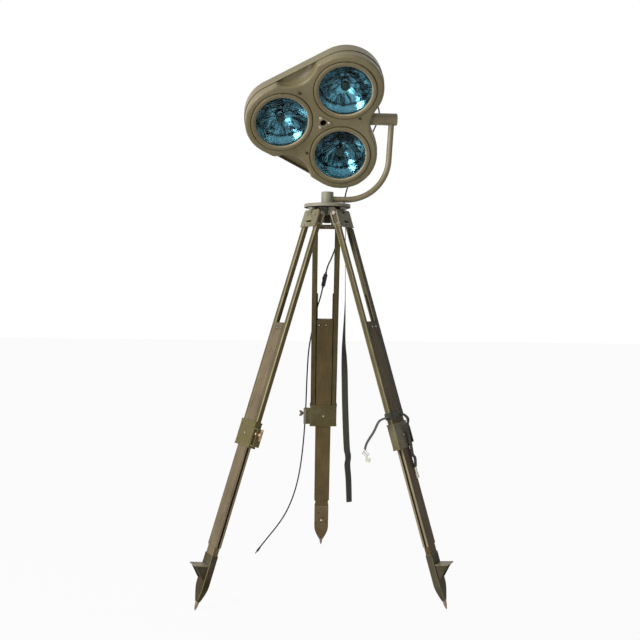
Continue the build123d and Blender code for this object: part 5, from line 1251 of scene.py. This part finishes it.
def strap(name, rows, body, node):
    """Webbing along rows of (place, direction across)."""
    bpy.ops.mesh.primitive_grid_add(x_subdivisions=STRAP_COLUMNS, y_subdivisions=len(rows) - 1, size=1)
    piece = bpy.context.object
    piece.name = name
    ordered = sorted(piece.data.vertices, key=lambda vertex: (round(vertex.co.y, 5), vertex.co.x))
    columns = STRAP_COLUMNS + 1
    uv_of, travelled = {}, 0.0
    for index, (place, across) in enumerate(rows):
        if index:
            travelled += (Vector(place) - Vector(rows[index - 1][0])).length
        for column in range(columns):
            share = column / STRAP_COLUMNS - 0.5
            vertex = ordered[index * columns + column]
            vertex.co = Vector(place) + Vector(across).normalized() * STRAP_WIDTH * share
            uv_of[vertex.index] = (share * STRAP_WIDTH, travelled)
    layer = piece.data.uv_layers.active
    for loop in piece.data.loops:
        layer.data[loop.index].uv = uv_of[loop.vertex_index]
    choose(piece)
    wall = piece.modifiers.new("wall", "SOLIDIFY")
    wall.thickness = STRAP_THICKNESS
    wall.offset = 0.0
    bpy.ops.object.modifier_apply(modifier="wall")
    edge = piece.modifiers.new("edge", "BEVEL")
    edge.width = STRAP_EDGE
    edge.segments = 2
    edge.limit_method = "ANGLE"
    edge.angle_limit = radians(60)
    bpy.ops.object.modifier_apply(modifier="edge")
    bpy.ops.object.shade_smooth_by_angle(angle=radians(50))
    piece.data.materials.append(webbing)
    attach(piece, body, "webbing", node)
    return piece


def smooth_rows(stations, steps=8):
    """Rows between stations of (place, across), on a smooth curve through all of them."""
    rows = []
    places = [Vector(place) for place, across in stations]
    turns = [Vector(across) for place, across in stations]
    for index in range(len(stations) - 1):
        before, after = max(index - 1, 0), min(index + 2, len(stations) - 1)
        for step in range(steps + (index == len(stations) - 2)):
            t = step / steps
            basis = (
                (-t + 2 * t**2 - t**3) / 2,
                (2 - 5 * t**2 + 3 * t**3) / 2,
                (t + 4 * t**2 - 3 * t**3) / 2,
                (-(t**2) + t**3) / 2,
            )
            chosen = (before, index, index + 1, after)
            place = sum((places[i] * b for i, b in zip(chosen, basis)), Vector())
            across = turns[index].lerp(turns[index + 1], t)
            rows.append((place, across))
    return rows


# %% [markdown]
# ### Hanging strap
# A long strap hangs from the hinge lug of the right leg. It shows its edge at the top, turns its face
# halfway down and has a kink near its end.

# %% Hanging strap
HANGING_Y = -0.030
HANGING_STATIONS = (
    (1.4685, 0.0520, 90), (1.450, 0.0620, 90), (1.425, 0.0715, 90), (1.366, 0.0715, 90),
    (1.142, 0.0735, 86), (0.985, 0.0700, 60), (0.915, 0.0720, 32), (0.844, 0.0745, 5),
    (0.750, 0.0770, 0), (0.640, 0.0815, 2), (0.575, 0.0850, 3), (0.549, 0.0870, 5),
    (0.533, 0.0905, 14), (0.515, 0.0915, 26), (0.490, 0.0890, 18), (0.4325, 0.0940, 22),
    (0.343, 0.0975, 30),
)
hanging_rows = smooth_rows(
    [
        (Vector((x, HANGING_Y, height)), Vector((cos(radians(turn)), sin(radians(turn)), 0)))
        for height, x, turn in HANGING_STATIONS
    ]
)
hanging_strap = strap("hanging_webbing", hanging_rows, "root", "hanging_strap")
right_outward = outward_of("right")
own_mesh(hanging_strap)

# %% [markdown]
# ### Straps on the right leg
# One strap lies along the outer face of a bar and is closed in a ring above the collar. Two loose ends
# come off the ring: one reaches forward and hangs free, the other falls along the board.

# %% Leg straps
BAR_FACE = 0.0111
STRAP_LINE = -0.046
RING_HEIGHT = -0.8075
RING_HALF_WIDTH = 0.0573
RING_HALF_DEPTH = 0.0134
RING_ROUND = 0.004
ALONG_TOP, ALONG_LENGTH, ALONG_STEPS = -0.062, 0.733, 24
right_leg = leg_matrix("right")
_, right_across, _, right_up = leg_axes("right")

along_heights = [ALONG_TOP - ALONG_LENGTH * step / ALONG_STEPS for step in range(ALONG_STEPS + 1)]
along_rows = [
    (right_leg @ Vector((STRAP_LINE, BAR_FACE, height)), right_across) for height in along_heights
]
strap("strap_along_bar", along_rows, "upper_leg_right", "leg_strap")


def ring_places():
    """Points on the rounded rectangle of the ring, five at each corner."""
    places = []
    for corner, (x, y) in enumerate(((1, 1), (-1, 1), (-1, -1), (1, -1))):
        for step in range(5):
            angle = radians(90 * corner + 90 * step / 4)
            across = x * (RING_HALF_WIDTH - RING_ROUND) + RING_ROUND * cos(angle)
            outward = y * (RING_HALF_DEPTH - RING_ROUND) + RING_ROUND * sin(angle)
            places.append(Vector((across, outward, RING_HEIGHT)))
    return [*places, places[0]]


ring_rows = [(right_leg @ place, right_up) for place in ring_places()]
strap("strap_ring", ring_rows, "upper_leg_right", "leg_strap")

NEAR_TURN = radians(12)
NEAR_ACROSS = Vector((sin(NEAR_TURN), -cos(NEAR_TURN), 0))
NEAR_ORIGIN = Vector((0, -0.2577, 0))
NEAR_ALONG = Vector((cos(NEAR_TURN), sin(NEAR_TURN), 0))
NEAR_TAIL = ((0.241, 0.709), (0.226, 0.706), (0.203, 0.694), (0.184, 0.657), (0.158, 0.616), (0.150, 0.590))
near_rows = smooth_rows(
    [(NEAR_ORIGIN + NEAR_ALONG * out + Vector((0, 0, height)), NEAR_ACROSS) for out, height in NEAR_TAIL]
)
strap("strap_near_tail", near_rows, "upper_leg_right", "strap_tails")

FAR_TAIL = (
    (0.3135, 0.712), (0.327, 0.708), (0.343, 0.692), (0.341, 0.655),
    (0.356, 0.597), (0.364, 0.560), (0.374, 0.546), (0.377, 0.512),
)
FAR_OFFSET = right_across * -0.0295
far_rows = smooth_rows(
    [(right_outward * out + Vector((0, 0, height)) + FAR_OFFSET, right_across) for out, height in FAR_TAIL]
)
strap("strap_far_tail", far_rows, "upper_leg_right", "strap_tails")

# %% [markdown]
# ## Light and floor
# Soft studio light from the left: a pale world and two large lamps. To the camera and in reflections the
# world and the floor are white, while on the object they light no more than a plain room would.


# %% World
def seen_share(tree):
    """1 for rays from the camera or off shiny and clear surfaces, 0 for those that light the object."""
    rays = tree.nodes.new("ShaderNodeLightPath").outputs
    straight = combine(tree, "MAXIMUM", rays["Is Camera Ray"], rays["Is Glossy Ray"])
    return combine(tree, "MAXIMUM", straight, rays["Is Transmission Ray"])


def mix_surfaces(tree, share, first, second, target):
    either = tree.nodes.new("ShaderNodeMixShader")
    for socket, source in zip(either.inputs, (share, first, second)):
        tree.links.new(source, socket)
    tree.links.new(either.outputs["Shader"], target.inputs["Surface"])


def backdrop(strength):
    background = tree.nodes.new("ShaderNodeBackground")
    feed_all(tree, background, Color=(1.0, 1.0, 1.0), Strength=strength)
    return background.outputs["Background"]


ROOM_STRENGTH = 0.22
world = bpy.data.worlds.new("studio")
bpy.context.scene.world = world
world.use_nodes = True
tree = world.node_tree
tree.nodes.clear()
output = tree.nodes.new("ShaderNodeOutputWorld")
mix_surfaces(tree, seen_share(tree), backdrop(ROOM_STRENGTH), backdrop(1.0), output)

# %% Lamps and floor
LIGHTS = {"key_light": ((-3.0, -2.1, 2.9), 134), "low_light": ((-1.8, -3.0, 0.7), 46)}
LIGHT_TARGET = Vector((0, 0, 1.3))
LIGHT_SIZE = 1.6
FLOOR_GLOW = 0.95
for name, (place, power) in LIGHTS.items():
    bpy.ops.object.light_add(type="AREA", location=place)
    lamp = bpy.context.object
    lamp.name = name
    lamp.data.size = LIGHT_SIZE
    lamp.data.energy = power
    lamp.rotation_euler = (LIGHT_TARGET - Vector(place)).to_track_quat("-Z", "Y").to_euler()

bpy.ops.mesh.primitive_plane_add(size=30, location=(0, 0, 0))
floor = bpy.context.object
floor.name = "studio_floor"
floor_paint, tree, shader = new_material("studio_floor", 0.9)
feed_all(tree, shader, Base_Color=(0.5, 0.5, 0.5))
glow = tree.nodes.new("ShaderNodeEmission")
feed_all(tree, glow, Strength=1.0)
share = combine(tree, "MULTIPLY", seen_share(tree), FLOOR_GLOW)
mix_surfaces(tree, share, shader.outputs["BSDF"], glow.outputs["Emission"], tree.nodes["Material Output"])
floor.data.materials.append(floor_paint)

# %% [markdown]
# ## Finish
# The view transform is Standard, so a colour renders as it is written.

# %% Finish
bpy.context.scene.view_settings.view_transform = "Standard"
